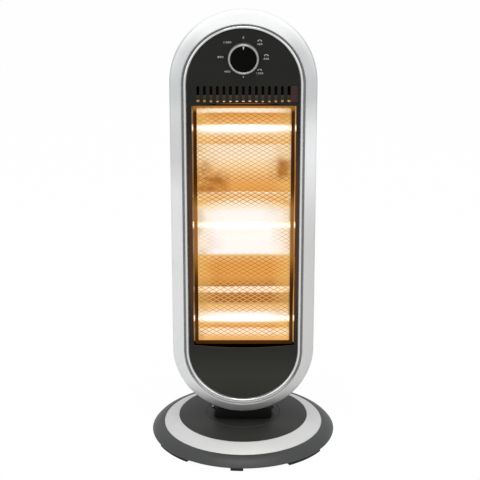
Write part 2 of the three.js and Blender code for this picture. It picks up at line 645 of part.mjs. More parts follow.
// Rubber gland at the back, where the mains lead enters the base.
function cordGland() {
  const sleeve = disc(GLAND_R, -GLAND_LENGTH, 0, 14, "y");
  const flange = disc(GLAND_FLANGE_R, -GLAND_FLANGE_THICK, 0, 14, "y");
  return cut(join(sleeve, flange), disc(GLAND_BORE_R, -GLAND_LENGTH - 1, 1, 12, "y"));
}
put(base, "cord_gland", cordGland(), RUBBER).position.set(0, GLAND_Y, GLAND_Z);

// ---- Tip-over switch ----------------------------------------------------------------------------
function tipSwitch() {
  const [width, depth, height] = TIP_SWITCH_SIZE;
  const body = box([-width / 2, -depth / 2, 0], [width / 2, depth / 2, height]);
  return body.subtract(disc(TIP_PLUNGER_R + RUN, -1, height - TIP_SWITCH_ROOF, 16));
}
const TIP_SWITCH_Z = PLATE_TOP_Z + FIT;
const tipBody = put(base, "tip_switch", tipSwitch(), NYLON);
tipBody.position.set(0, TIP_SWITCH_Y, TIP_SWITCH_Z);

const PLUNGER_LENGTH = TIP_SWITCH_Z + TIP_SWITCH_SIZE[2] - TIP_SWITCH_ROOF - FIT;
function tipPlunger() {
  const [r, nose] = [TIP_PLUNGER_R, TIP_PLUNGER_NOSE];
  return revolve([[0, 0], [r - nose, 0], [r, nose], [r, PLUNGER_LENGTH], [0, PLUNGER_LENGTH]], 16);
}
const plunger = put(base, "tip_plunger", tipPlunger(), RED_LENS);
plunger.position.set(0, TIP_SWITCH_Y, 0);

// ---- Swivel -------------------------------------------------------------------------------------
const bearing = ring(BEARING_INNER_R, BEARING_OUTER_R, BEARING_Z, BEARING_Z + BEARING_THICK, 30);
put(base, "swivel_bearing_ring", bearing, NYLON);

function turntable() {
  const hubEnd = GEAR_Z + GEAR_THICK + FIT;
  const outline = [
    [CABLE_BORE_R, DOME_TOP_Z], [TURNTABLE_R - TABLE_EDGE, DOME_TOP_Z],
    [TURNTABLE_R, DOME_TOP_Z - TABLE_EDGE], [TURNTABLE_R, TABLE_UNDER_Z], [HUB_R, TABLE_UNDER_Z],
    [HUB_R, hubEnd], [GEAR_SEAT_R, hubEnd], [GEAR_SEAT_R, GEAR_Z], [CABLE_BORE_R, GEAR_Z],
    [CABLE_BORE_R, DOME_TOP_Z],
  ];
  return revolve(outline, 30);
}
put(table, "turntable", turntable(), BLACK);

const RETAINER_Z = LEDGE_UNDER_Z - FIT - RETAINER_THICK;
const retainer = ring(HUB_R + FIT, RETAINER_R, RETAINER_Z, RETAINER_Z + RETAINER_THICK, 24);
put(table, "hub_retainer", retainer, STEEL);

// Angle that an involute has turned through where its pressure angle is the one given.
const involute = (pressure) => tan(pressure) - pressure;
const PRESSURE = 20 * DEG;

// Outline of a spur gear. Teeth stand where keep(angle) says; elsewhere it is round at the root.
function gearShape(teeth, keep) {
  const pitch = (GEAR_MODULE * teeth) / 2;
  const baseR = pitch * cos(PRESSURE);
  const tip = pitch + GEAR_MODULE * ADDENDUM;
  const root = pitch - GEAR_MODULE * DEDENDUM;
  const start = max(baseR, root);
  const half = PI / (2 * teeth) - TOOTH_THINNING / (2 * pitch);
  const halfAt = (r) => half + involute(PRESSURE) - involute(acos(min(1, baseR / r)));
  const flank = [0, 0.5, 1].map((t) => start + (tip - start) * t);
  const points = [];
  const add = (r, angle) => points.push(new THREE.Vector2(r * cos(angle), r * sin(angle)));
  for (let tooth = 0; tooth < teeth; tooth += 1) {
    const centre = (2 * PI * tooth) / teeth;
    add(root, centre - PI / teeth);
    if (keep(centre)) {
      if (root < start) add(root, centre - halfAt(start));
      flank.forEach((r) => add(r, centre - halfAt(r)));
      flank.toReversed().forEach((r) => add(r, centre + halfAt(r)));
      if (root < start) add(root, centre + halfAt(start));
    }
  }
  return new THREE.Shape(points);
}

// The toothed disc under the turntable carries teeth only where the pinion runs, at the back.
function swivelGear() {
  const reach = (SWIVEL_LIMIT + SPARE_TEETH_ANGLE) * DEG;
  const tooth = (2 * PI) / GEAR_TEETH;
  const offBack = (angle) => abs(atan2(sin(angle - PI / 2), cos(angle - PI / 2)));
  const shape = gearShape(GEAR_TEETH, (angle) => offBack(angle) < reach + tooth / 2);
  shape.holes.push(circlePath(GEAR_SEAT_R + 2 * FIT, 0, 0, 24));
  return prismZ(shape, GEAR_Z, GEAR_Z + GEAR_THICK);
}
put(table, "swivel_gear", swivelGear(), NYLON);

// A gap between two pinion teeth faces the toothed disc's middle tooth.
function swivelPinion() {
  const shape = gearShape(PINION_TEETH, () => true);
  shape.holes.push(circlePath(MOTOR_SHAFT_R + FIT, 0, 0, 12));
  const half = PI / PINION_TEETH;
  return prismZ(shape, GEAR_Z, GEAR_Z + GEAR_THICK).rotate([0, 0, -90]).rotate([0, 0, half / DEG]);
}
const pinion = put(base, "swivel_pinion", swivelPinion(), NYLON);
pinion.position.y = PINION_Y;

function swivelMotor() {
  const can = disc(MOTOR_R, MOTOR_Z, MOTOR_TOP_Z, 22);
  const top = MOTOR_TOP_Z - MOTOR_EAR_DROP;
  const plan = roundedRect(MOTOR_EAR_REACH * 2, MOTOR_EAR_WIDTH, MOTOR_EAR_WIDTH * 0.45);
  const ears = prismZ(plan, top - MOTOR_EAR_THICK, top, 4);
  const shaft = disc(MOTOR_SHAFT_R, GEAR_Z, MOTOR_Z + 1, 12);
  return join(can, ears, shaft);
}
const motor = put(base, "swivel_motor", swivelMotor(), STEEL);
motor.position.y = PINION_Y;

// ---- Neck ---------------------------------------------------------------------------------------
function neck() {
  let body = prismZ(roundedRect(NECK_WIDTH, NECK_DEPTH, NECK_CORNER_R), NECK_Z, NECK_TOP_Z, 4);
  const pocket = [LUG_WIDTH / 2 + RUN, NECK_DEPTH / 2 - NECK_END_WALL];
  const floor = NECK_Z + NECK_FLOOR;
  body = body.subtract(box([-pocket[0], -pocket[1], floor], [pocket[0], pocket[1], NECK_TOP_Z + 1]));
  const bossEnd = NECK_WIDTH / 2 + TILT_BOSS_STAND;
  const boss = disc(TILT_HEAD_R + TILT_BOSS_WALL, -bossEnd, bossEnd, 14, "x").translate([0, 0, TILT_Z]);
  const inside = box([-pocket[0], -NECK_DEPTH, floor], [pocket[0], NECK_DEPTH, NECK_TOP_Z + 1]);
  body = body.add(boss.subtract(inside));
  const bore = disc(TILT_BOLT_R + FIT, -NECK_WIDTH, NECK_WIDTH, 12, "x").translate([0, 0, TILT_Z]);
  return cut(body, bore, disc(CABLE_BORE_R, NECK_Z - 1, floor + 1, 16));
}
put(table, "neck", neck(), BLACK);

const BOLT_SEAT_X = NECK_WIDTH / 2 + TILT_BOSS_STAND + FIT;
function tiltBolt() {
  const shank = disc(TILT_BOLT_R, -BOLT_SEAT_X, BOLT_SEAT_X + TILT_HEAD_THICK, 16, "x");
  const cap = disc(TILT_HEAD_R, -BOLT_SEAT_X - TILT_HEAD_THICK, -BOLT_SEAT_X, 20, "x");
  return join(shank, cap);
}
const bolt = put(table, "tilt_bolt", tiltBolt(), STEEL);
bolt.position.z = TILT_Z;
const nut = ring(TILT_BOLT_R + FIT, TILT_HEAD_R, BOLT_SEAT_X, BOLT_SEAT_X + TILT_NUT_THICK, 20, "x");
put(table, "tilt_nut", nut, DARK_PLASTIC).position.z = TILT_Z;

// ---- Head: bezel and rim ------------------------------------------------------------------------
function frontBezel() {
  const crown = HEAD_FRONT_Y;
  const corner = [];
  for (let step = 0; step <= 4; step += 1) {
    const angle = (step / 4) * (PI / 2);
    corner.push([BAND_EDGE_R * (1 - cos(angle)), crown + BAND_EDGE_R * (1 - sin(angle))]);
  }
  return headRing([
    [0, SKIRT_Y],
    ...corner,
    [BAND_WIDTH * 0.55, crown + BAND_FALL * 0.2],
    [BAND_WIDTH, crown + BAND_FALL],
    [BAND_WIDTH, GROOVE_Y],
    [PANEL_INSET, GROOVE_Y],
    [PANEL_INSET, PANEL_BACK_Y + FIT],
    [PANEL_INSET + LEDGE_WIDTH, PANEL_BACK_Y + FIT],
    [PANEL_INSET + LEDGE_WIDTH, BEZEL_BACK_Y],
    [BEZEL_WALL, BEZEL_BACK_Y],
    [BEZEL_WALL, SKIRT_Y],
  ]);
}
put(head, "front_bezel", frontBezel(), SILVER);

function innerRim() {
  const foot = GROOVE_Y - FIT;
  const middle = (RIM_INSET + PANEL_INSET - FIT) / 2;
  const half = (RIM_WIDTH - FIT) / 2;
  const straight = RIM_STAND - half;
  const section = [[middle - half, foot], [middle - half, foot - straight]];
  for (let step = 1; step <= 3; step += 1) {
    const angle = (step / 4) * PI;
    section.push([middle - half * cos(angle), foot - straight - half * sin(angle)]);
  }
  section.push([middle + half, foot - straight], [middle + half, foot]);
  return headRing(section);
}
put(head, "inner_rim", innerRim(), BRIGHT);

// ---- Head: front panel --------------------------------------------------------------------------
// Window with a shallow arch at its top and bottom edges.
function windowPath() {
  const [low, high] = [WINDOW_Z - WINDOW_HEIGHT / 2, WINDOW_Z + WINDOW_HEIGHT / 2];
  const path = new THREE.Path();
  path.moveTo(-WINDOW_HALF, low);
  path.lineTo(-WINDOW_HALF, high);
  path.quadraticCurveTo(0, high + 2 * WINDOW_RISE, WINDOW_HALF, high);
  path.lineTo(WINDOW_HALF, low);
  path.quadraticCurveTo(0, low - 2 * WINDOW_RISE, -WINDOW_HALF, low);
  return path;
}

function slotPath(x) {
  const half = SLOT_HEIGHT / 2 - SLOT_WIDTH / 2;
  const path = new THREE.Path();
  path.absarc(x, SLOT_Z + half, SLOT_WIDTH / 2, 0, PI, false);
  path.absarc(x, SLOT_Z - half, SLOT_WIDTH / 2, PI, 2 * PI, false);
  path.closePath();
  return path;
}

function frontPanel() {
  const shape = headShape(PANEL_INSET + FIT);
  shape.holes.push(windowPath());
  for (let i = 0; i < SLOT_COUNT; i += 1) {
    shape.holes.push(slotPath(i * SLOT_PITCH - SLOT_REACH));
  }
  const lens = roundedRect(LENS_WIDTH + 2 * FIT, SLOT_HEIGHT + 2 * FIT, LENS_CORNER_R, LENS_X, SLOT_Z);
  shape.holes.push(new THREE.Path(lens.getPoints(2)));
  shape.holes.push(circlePath(BUSH_R + 2 * FIT, 0, KNOB_Z));
  return prismY(shape, PANEL_Y, PANEL_BACK_Y, 2);
}
put(head, "front_panel", frontPanel(), BLACK);

function pilotLens() {
  const face = roundedRect(LENS_WIDTH, SLOT_HEIGHT, LENS_CORNER_R);
  const back = roundedRect(LENS_WIDTH - LENS_CORNER_R, SLOT_HEIGHT + 2 * LENS_FLANGE, LENS_CORNER_R);
  const seat = PANEL_BACK_Y + FIT;
  const end = seat + LENS_FLANGE_THICK;
  return join(prismY(face, PANEL_Y - LENS_STAND, seat + 1, 2), prismY(back, seat, end, 2));
}
put(head, "pilot_lens", pilotLens(), RED_LENS).position.set(LENS_X, 0, SLOT_Z);

// ---- Head: guard --------------------------------------------------------------------------------
function grilleFrame() {
  const shape = roundedRect(GUARD_WIDTH, GUARD_HEIGHT, GUARD_CORNER_R);
  const [width, height] = [GUARD_WIDTH - 2 * GUARD_BAR, GUARD_HEIGHT - 2 * GUARD_BAR];
  const opening = roundedRect(width, height, GUARD_CORNER_R / 2);
  shape.holes.push(new THREE.Path(opening.getPoints(3)));
  return prismY(shape, GUARD_Y, GUARD_Y + GUARD_THICK, 3);
}
put(head, "grille_frame", grilleFrame(), HOT_STEEL).position.z = GUARD_Z;

// Corners of a diamond cut off at the edges of a rectangle.
function clipToRect(points, halfWidth, halfHeight) {
  const sides = [[0, 1, halfWidth], [0, -1, halfWidth], [1, 1, halfHeight], [1, -1, halfHeight]];
  return sides.reduce((corners, [axis, sign, limit]) => corners.flatMap((here, i) => {
    const next = corners[(i + 1) % corners.length];
    const [a, b] = [limit - sign * here[axis], limit - sign * next[axis]];
    const kept = a >= 0 ? [here] : [];
    if (a * b < 0) kept.push(here.map((value, k) => value + (next[k] - value) * (a / (a - b))));
    return kept;
  }), points);
}

// Expanded metal: rows of diamonds, every second row shifted by half a diamond.
function grilleMesh() {
  const width = GUARD_WIDTH - 2 * GUARD_BAR - 2 * FIT;
  const height = GUARD_HEIGHT - 2 * GUARD_BAR - 2 * FIT;
  const front = GUARD_Y + (GUARD_THICK - MESH_THICK) / 2;
  const [pitchX, pitchZ] = [width / MESH_COLUMNS, height / MESH_ROWS];
  const slope = pitchX / pitchZ;
  const halfZ = pitchZ / 2 - (MESH_STRAND / 2) * sqrt(1 + 1 / slope ** 2);
  const halfX = halfZ * slope;
  const margin = MESH_STRAND * 0.6;
  const gaps = [];
  for (let row = 0; row <= 2 * MESH_ROWS; row += 1) {
    for (let column = 0; column <= MESH_COLUMNS; column += 1) {
      const x = (column + (row % 2 ? 0.5 : 0)) * pitchX - width / 2;
      const z = (row * pitchZ) / 2 - height / 2;
      const diamond = [[x + halfX, z], [x, z + halfZ], [x - halfX, z], [x, z - halfZ]];
      const gap = clipToRect(diamond, width / 2 - margin, height / 2 - margin);
      if (gap.length < 3) continue;
      const shape = new THREE.Shape(gap.map(([u, v]) => new THREE.Vector2(u, v)));
      gaps.push(prismY(shape, front - 1, front + MESH_THICK + 1));
    }
  }
  const sheet = prismY(roundedRect(width, height, 1), front, front + MESH_THICK, 2);
  return sheet.subtract(wasm.Manifold.union(gaps));
}
put(head, "grille_mesh", grilleMesh(), HOT_STEEL).position.z = GUARD_Z;

// ---- Head: lamps --------------------------------------------------------------------------------
const lampHeights = Array.from({ length: LAMP_COUNT },
  (_, i) => LAMP_Z + ((LAMP_COUNT - 1) / 2 - i) * LAMP_PITCH);

// Ceramic end cap, open towards the middle of the lamp, with its neck at x = CAP_START.
function lampCap() {
  const seat = TUBE_HALF + FIT;
  const end = CAP_START + CAP_LENGTH;
  const outline = [
    [0, end], [CAP_R - CAP_EDGE, end], [CAP_R, end - CAP_EDGE], [CAP_R, CAP_START],
    [TUBE_R + FIT, CAP_START], [TUBE_R + FIT, seat], [0, seat],
  ];
  return turned(revolve(outline, 10), "x");
}

lampHeights.forEach((z, i) => {
  const lamp = new THREE.Group();
  lamp.position.set(0, LAMP_Y, z);
  head.add(lamp);
  const glass = ring(TUBE_R - TUBE_WALL, TUBE_R, -TUBE_HALF, TUBE_HALF, 14, "x");
  put(lamp, `quartz_tube_${i + 1}`, glass, QUARTZ);
  put(lamp, `filament_${i + 1}`, disc(FILAMENT_R, -TUBE_HALF, TUBE_HALF, 8, "x"), GLOWING);
  put(lamp, `lamp_cap_${2 * i + 1}`, lampCap().mirror([1, 0, 0]), CERAMIC);
  put(lamp, `lamp_cap_${2 * i + 2}`, lampCap(), CERAMIC);
});

// One sheet bent into a trough behind each lamp, with flats between them and an end cheek
// on either side.
function reflector() {
  const steps = 10;
  const front = [];
  const [low, high] = [LAMP_Z - REFLECTOR_REACH, LAMP_Z + REFLECTOR_REACH];
  front.push([REFLECTOR_Y, low]);
  lampHeights.toReversed().forEach((z) => {
    for (let step = 0; step <= steps; step += 1) {
      const t = (2 * step) / steps - 1;
      front.push([REFLECTOR_Y + TROUGH_DEPTH * (1 - t * t), z + t * TROUGH_HALF]);
    }
  });
  front.push([REFLECTOR_Y, high]);
  const outline = [...front, ...front.toReversed().map(([y, z]) => [y + REFLECTOR_SHEET, z])];
  const sheet = new THREE.Shape(outline.map(([y, z]) => new THREE.Vector2(y, z)));
  const cheekEnd = REFLECTOR_Y + TROUGH_DEPTH + REFLECTOR_SHEET;
  const cheek = (x) => box([x, REFLECTOR_Y, low], [x + REFLECTOR_SHEET, cheekEnd, high]);
  const inner = REFLECTOR_HALF - REFLECTOR_SHEET;
  const weldX = REFLECTOR_HALF - REFLECTOR_SHEET / 2;
  return join(prismX(sheet, -weldX, weldX), cheek(-REFLECTOR_HALF), cheek(inner));
}
put(head, "reflector", reflector(), POLISHED);

// Heights of the flats between the lamps, where the lamp brackets and screws sit.
const flatHeights = lampHeights.slice(1).map((z, i) => (z + lampHeights[i]) / 2);

// Upright plate that the lamps' caps pass through. Its inner tabs are folded along the
// reflector's cheek, and its outer tabs lie on the screw posts of the rear shell.
function lampBracket() {
  const low = min(...lampHeights) - CAP_R - BRACKET_MARGIN;
  const high = max(...lampHeights) + CAP_R + BRACKET_MARGIN;
  const cheekX = REFLECTOR_HALF + FIT;
  const tabEndY = TAB_Y + BRACKET_SHEET;
  const plateEndX = BRACKET_X + BRACKET_SHEET;
  const earEndX = HEAD_SCREW_X + SCREW_SHANK_R + BOSS_WALL - FIT;
  let body = box([BRACKET_X, LAMP_Y - CAP_R, low], [plateEndX, tabEndY, high]);
  for (const z of flatHeights) {
    const [bottom, top] = [z - BRACKET_TAB / 2, z + BRACKET_TAB / 2];
    const tab = box([cheekX, TAB_Y, bottom], [plateEndX, tabEndY, top]);
    const flap = box([cheekX, TAB_Y, bottom], [cheekX + BRACKET_SHEET, TAB_Y + BRACKET_FLAP, top]);
    const ear = box([BRACKET_X, TAB_Y, z - BRACKET_EAR / 2], [earEndX, tabEndY, z + BRACKET_EAR / 2]);
    const hole = disc(SCREW_SHANK_R + FIT, TAB_Y - 1, tabEndY + 1, 8, "y");
    body = cut(join(body, tab, flap, ear), hole.translate([HEAD_SCREW_X, 0, z]));
  }
  for (const z of lampHeights) {
    const hole = disc(CAP_R + FIT, BRACKET_X - 1, plateEndX + 1, 12, "x");
    body = body.subtract(hole.translate([0, LAMP_Y, z]));
  }
  return body;
}
put(head, "lamp_bracket_left", lampBracket().mirror([1, 0, 0]), STEEL);
put(head, "lamp_bracket_right", lampBracket(), STEEL);

// ---- Head: rear shell ---------------------------------------------------------------------------
const SHELL_INSET = BEZEL_WALL + FIT;
const SHELL_FRONT_Y = BEZEL_BACK_Y + FIT;

// The shell's section as [inset, y], from its front edge to the edge of its flat back, or the same
// drawn in by a wall. The side runs straight and then rounds in, as shares of its depth and reach.
function shellSection(wall) {
  const reach = SHELL_BACK_INSET - SHELL_INSET;
  const depth = HEAD_BACK_Y - SKIRT_Y;
  const side = SHELL_INSET + wall;
  const curve = [[0.3, 0.09], [0.6, 0.25], [0.8, 0.44], [0.93, 0.68]];
  const rounding = curve.map(([back, inward]) => [side + reach * inward, SKIRT_Y + depth * back - wall / 2]);
  return [[side, SHELL_FRONT_Y], [side, SKIRT_Y], ...rounding, [side + reach, HEAD_BACK_Y - wall]];
}

// A solid of the shell's inside that runs on forward, so that it opens the shell's front.
function shellInside() {
  const [[inset], ...rest] = shellSection(SHELL_WALL);
  return headLoft([[inset, SHELL_FRONT_Y - SHELL_WALL], ...rest]);
}

// Posts that the head screws go through, and the wells for their heads.
function headScrewPosts(shell, outer) {
  const postR = SCREW_SHANK_R + BOSS_WALL;
  const postFoot = TAB_Y + BRACKET_SHEET + FIT;
  const post = disc(postR, postFoot, postFoot + HEAD_POST_RISE + HEAD_SCREW_GRIP, 8, "y");
  const well = disc(SCREW_HEAD_R + 2 * FIT, HEAD_SCREW_SEAT_Y, HEAD_BACK_Y, 10, "y");
  const hole = disc(SCREW_SHANK_R + FIT, SHELL_FRONT_Y, HEAD_SCREW_SEAT_Y + 1, 8, "y");
  let body = shell;
  for (const side of [-1, 1]) {
    for (const z of flatHeights) {
      const place = [side * HEAD_SCREW_X, 0, z];
      body = body.add(post.translate(place).intersect(outer));
      body = cut(body, well.translate(place), hole.translate(place));
    }
  }
  return body;
}

function shieldStandoffs() {
  const standoff = disc(STANDOFF_R, INNER_BACK_Y - SHIELD_STANDOFF, INNER_BACK_Y + SHELL_WALL / 2, 8, "y");
  const [x, z] = [SHIELD_WIDTH / 2 - STANDOFF_SIDE, SHIELD_HEIGHT / 2 - STANDOFF_END];
  const places = [[-x, -z], [x, -z], [-x, z], [x, z]];
  return join(...places.map(([u, v]) => standoff.translate([u, 0, LAMP_Z + v])));
}

// A recess for the fingers, as its outside and its inside.
function gripForms() {
  const bottom = HEAD_BACK_Y - GRIP_DEPTH;
  const around = roundedRect(
    GRIP_WIDTH + 2 * SHELL_WALL, GRIP_HEIGHT + 2 * SHELL_WALL, GRIP_CORNER_R + SHELL_WALL);
  const outside = prismY(around, bottom - SHELL_WALL, HEAD_BACK_Y - SHELL_WALL / 4, 3);
  const inside = prismY(roundedRect(GRIP_WIDTH, GRIP_HEIGHT, GRIP_CORNER_R), bottom, HEAD_BACK_Y + 1, 3);
  return [outside.translate([0, 0, GRIP_Z]), inside.translate([0, 0, GRIP_Z])];
}

function louvres() {
  const shape = roundedRect(LOUVRE_LENGTH, LOUVRE_HEIGHT, LOUVRE_HEIGHT * 0.498);
  const slot = prismY(shape, INNER_BACK_Y - SHELL_WALL, HEAD_BACK_Y + 1, 1);
  const x = (LOUVRE_LENGTH + LOUVRE_APART) / 2;
  const slots = [];
  for (const middle of LOUVRE_HEIGHTS) {
    for (let row = 0; row < LOUVRE_ROWS; row += 1) {
      const z = middle + (row - (LOUVRE_ROWS - 1) / 2) * LOUVRE_PITCH;
      slots.push(slot.translate([-x, 0, z]), slot.translate([x, 0, z]));
    }
  }
  return wasm.Manifold.union(slots);
}

function rearShell() {
  const outer = headLoft(shellSection(0));
  const [gripOutside, gripInside] = gripForms();
  const wall = outer.subtract(shellInside());
  const body = join(headScrewPosts(wall, outer), shieldStandoffs(), gripOutside.intersect(outer));
  return cut(body, gripInside, louvres());
}
put(head, "rear_shell", rearShell(), BLACK);

let screwCount = 0;
for (const side of [-1, 1]) {
  for (const z of flatHeights) {
    screwCount += 1;
    const body = screw(HEAD_SCREW_LENGTH).rotate([90, 0, 0]);
    const mesh = put(head, `head_screw_${screwCount}`, body, STEEL);
    mesh.position.set(side * HEAD_SCREW_X, HEAD_SCREW_SEAT_Y + FIT + SCREW_HEAD_THICK, z);
  }
}

// Lug under the head, shaped to the shell's round bottom, with a round nose on the tilt axis.
function headFoot() {
  const axis = TILT_Z - HEAD_CENTRE_Z;
  const bottom = -HEAD_HEIGHT / 2;
  const block = new THREE.Shape();
  block.moveTo(-LUG_DEPTH / 2, bottom + LUG_HEIGHT);
  block.lineTo(-LUG_DEPTH / 2, bottom);
  block.lineTo(-LUG_NOSE_R, axis);
  block.absarc(0, axis, LUG_NOSE_R, PI, 2 * PI, false);
  block.lineTo(LUG_DEPTH / 2, bottom);
  block.lineTo(LUG_DEPTH / 2, bottom + LUG_HEIGHT);
  const body = prismX(block, -LUG_WIDTH / 2, LUG_WIDTH / 2, 6);
  const seat = headLoft(shellSection(-FIT));
  const bore = disc(TILT_BOLT_R + FIT, -LUG_WIDTH, LUG_WIDTH, 16, "x").translate([0, 0, axis]);
  return cut(body, seat, bore);
}
put(head, "head_foot", headFoot(), BLACK);

// ---- Head: shield, cut-out, terminals -----------------------------------------------------------
function heatShield() {
  const back = INNER_BACK_Y - SHIELD_STANDOFF - FIT;
  const [a, b] = [SHIELD_WIDTH / 2, SHIELD_HEIGHT / 2];
  const [c, d] = [a - SHIELD_SHEET, b - SHIELD_SHEET];
  const outer = box([-a, back - SHIELD_FLANGE, -b], [a, back, b]);
  return outer.subtract(box([-c, back - SHIELD_FLANGE - 1, -d], [c, back - SHIELD_SHEET, d]));
}
put(head, "heat_shield", heatShield(), STEEL).position.z = LAMP_Z;

const cutout = disc(CUTOUT_R, TAB_Y, TAB_Y + CUTOUT_THICK, 20, "y");
put(head, "thermal_cutout", cutout, BLACK).position.set(CUTOUT_X, 0, flatHeights[0]);

const [terminalWidth, terminalDepth, terminalHeight] = TERMINAL_SIZE;
const terminal = box([-terminalWidth / 2, -terminalDepth, -terminalHeight / 2],
  [terminalWidth / 2, 0, terminalHeight / 2]);
put(head, "terminal_block", terminal, NYLON).position.set(0, INNER_BACK_Y - FIT, TERMINAL_Z);

// ---- Control knob -------------------------------------------------------------------------------
// The dial's own frame lies on the panel's face, with its axis towards -Y.
function rotarySwitch() {
  const [width, depth, height] = SWITCH_SIZE;
  const back = PANEL_THICK + FIT;
  const body = box([-width / 2, back, -height / 2], [width / 2, back + depth, height / 2]);
  const bush = disc(BUSH_R, -0.6, back + 1, 18, "y");
  const bore = disc(SHAFT_R + FIT, -2, SHAFT_LENGTH - KNOB_STAND + FIT, 14, "y");
  return cut(join(body, bush), bore);
}
put(dial, "rotary_switch", rotarySwitch(), NYLON);

const KNOB_BACK = -1;
const KNOB_BODY_R = KNOB_R - KNOB_RING_WIDTH - FIT;
const shaftTip = -KNOB_STAND + KNOB_DISH + 3;
put(dial, "switch_shaft", disc(SHAFT_R, shaftTip, SHAFT_LENGTH - KNOB_STAND, 14, "y"), STEEL);

function knob() {
  const face = KNOB_STAND - KNOB_DISH;
  const outline = [
    [0, -KNOB_BACK], [KNOB_BODY_R, -KNOB_BACK], [KNOB_BODY_R, face - 0.8], [KNOB_BODY_R - 0.8, face],
    [0, face],
  ];
  const body = revolve(outline, 28).rotate([90, 0, 0]);
  const socket = disc(SHAFT_R + FIT, shaftTip - FIT, 1, 14, "y");
  const groove = box([-POINTER_WIDTH / 2 - FIT, -face - 1, KNOB_BODY_R - POINTER_LENGTH - 1.4],
    [POINTER_WIDTH / 2 + FIT, -face + POINTER_THICK, KNOB_BODY_R - 0.8]);
  return cut(body, socket, groove);
}
put(dial, "knob", knob(), BLACK);

function knobRing() {
  const edge = 0.9;
  const [inner, front] = [KNOB_R - KNOB_RING_WIDTH, KNOB_STAND];
  const outline = [
    [inner, -KNOB_BACK], [KNOB_R, -KNOB_BACK], [KNOB_R, front - edge], [KNOB_R - edge, front],
    [inner + edge * 0.6, front], [inner, front - edge * 0.6], [inner, -KNOB_BACK],
  ];
  return revolve(outline, 28).rotate([90, 0, 0]);
}
put(dial, "knob_ring", knobRing(), BRIGHT);

const pointerTop = KNOB_BODY_R - 0.8 - FIT;
const pointerFace = -(KNOB_STAND - KNOB_DISH);
const pointer = box([-POINTER_WIDTH / 2, pointerFace, pointerTop - POINTER_LENGTH],
  [POINTER_WIDTH / 2, pointerFace + POINTER_THICK - FIT, pointerTop]);
put(dial, "knob_pointer", pointer, WHITE_PRINT);

export default heater;
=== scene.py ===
"""Looks of a halogen tower heater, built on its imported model.

Lengths below are in millimetres and are scaled to metres where a mesh is made. The front of the
heater faces -Y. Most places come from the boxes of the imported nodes.
"""
import json
from math import cos, hypot, pi, radians, sin

import bmesh
import bpy
from mathutils import Matrix, Vector

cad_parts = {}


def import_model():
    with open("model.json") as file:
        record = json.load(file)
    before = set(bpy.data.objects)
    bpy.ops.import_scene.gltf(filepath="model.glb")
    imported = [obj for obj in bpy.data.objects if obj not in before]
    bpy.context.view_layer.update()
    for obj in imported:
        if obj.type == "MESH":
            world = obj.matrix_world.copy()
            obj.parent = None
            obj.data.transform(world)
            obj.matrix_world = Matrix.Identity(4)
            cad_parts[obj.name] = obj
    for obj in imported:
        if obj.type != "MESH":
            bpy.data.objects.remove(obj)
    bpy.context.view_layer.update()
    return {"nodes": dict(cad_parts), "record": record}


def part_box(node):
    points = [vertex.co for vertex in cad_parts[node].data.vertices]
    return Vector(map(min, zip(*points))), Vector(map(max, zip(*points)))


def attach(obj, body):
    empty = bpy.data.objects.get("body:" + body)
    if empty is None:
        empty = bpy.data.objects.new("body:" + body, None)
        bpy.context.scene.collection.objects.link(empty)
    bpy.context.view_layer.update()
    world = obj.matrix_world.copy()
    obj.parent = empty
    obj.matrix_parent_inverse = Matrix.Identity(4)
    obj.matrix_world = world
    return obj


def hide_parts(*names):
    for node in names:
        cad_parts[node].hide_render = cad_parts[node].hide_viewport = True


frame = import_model()

MM = 0.001


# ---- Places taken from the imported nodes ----
def mm_box(node):
    """Lowest and highest corner of a node, in millimetres."""
    low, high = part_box(node)
    return [value / MM for value in low], [value / MM for value in high]


def middle(node):
    low, high = mm_box(node)
    return [(a + b) / 2 for a, b in zip(low, high)]


BEZEL_LOW, BEZEL_HIGH = mm_box("front_bezel")
HEAD_R = BEZEL_HIGH[0]
HEAD_MIDDLE = (BEZEL_LOW[2] + BEZEL_HIGH[2]) / 2
HEAD_STRAIGHT = (BEZEL_HIGH[2] - BEZEL_LOW[2]) / 2 - HEAD_R
HEAD_TOP, HEAD_FOOT = BEZEL_HIGH[2], BEZEL_LOW[2]
HEAD_FRONT = BEZEL_LOW[1]
BEZEL_BACK = BEZEL_HIGH[1]
PANEL_LOW, PANEL_HIGH = mm_box("front_panel")
PANEL_FRONT, PANEL_BACK = PANEL_LOW[1], PANEL_HIGH[1]
PANEL_INSET = HEAD_R - PANEL_HIGH[0]
LAMP_HEIGHTS = [middle(f"quartz_tube_{i}")[2] for i in (1, 2, 3)]
LAMP_Y = middle("quartz_tube_1")[1]
BASE_RADIUS = mm_box("base_shell")[1][0]
BASE_FOOT = mm_box("base_shell")[0][2]
KNOB_MIDDLE = middle("knob_ring")

# ---- Sizes of the dressed pieces ----
SKIRT_DEPTH = 15
BEZEL_WALL = 2.4
BAND_WIDTH = 17
BAND_EDGE_R = 4
BAND_SLOPE = 3.4  # the band's outer side lies this far behind its inner edge
GROOVE_WIDTH = 2.5
GROOVE_DEPTH = 5
RIM_STAND = 3.1
FIT = 0.3
WINDOW_HALF = 75.5
WINDOW_RISE = 4.5
WINDOW_LIP_HALF = 74.6
WINDOW_SHIFT = 1.0
WINDOW_TOP = HEAD_TOP - 138.5
WINDOW_FOOT = HEAD_FOOT + 108.8
SLOT_COUNT = 15
SLOT_WIDTH = 4
SLOT_PITCH = 9.2
DIAMOND_WIDTH = 11.25
DIAMOND_HEIGHT = 6.38
STRAND = 0.75
STRAND_TILT = 0.34
STRAND_THICK = 0.32
TROUGH_HALF = 46
TROUGH_DEPTH = 30


# ---- Node materials ----
LOOKS = {}  # every material by its name, which is also a slot of the record for many of them


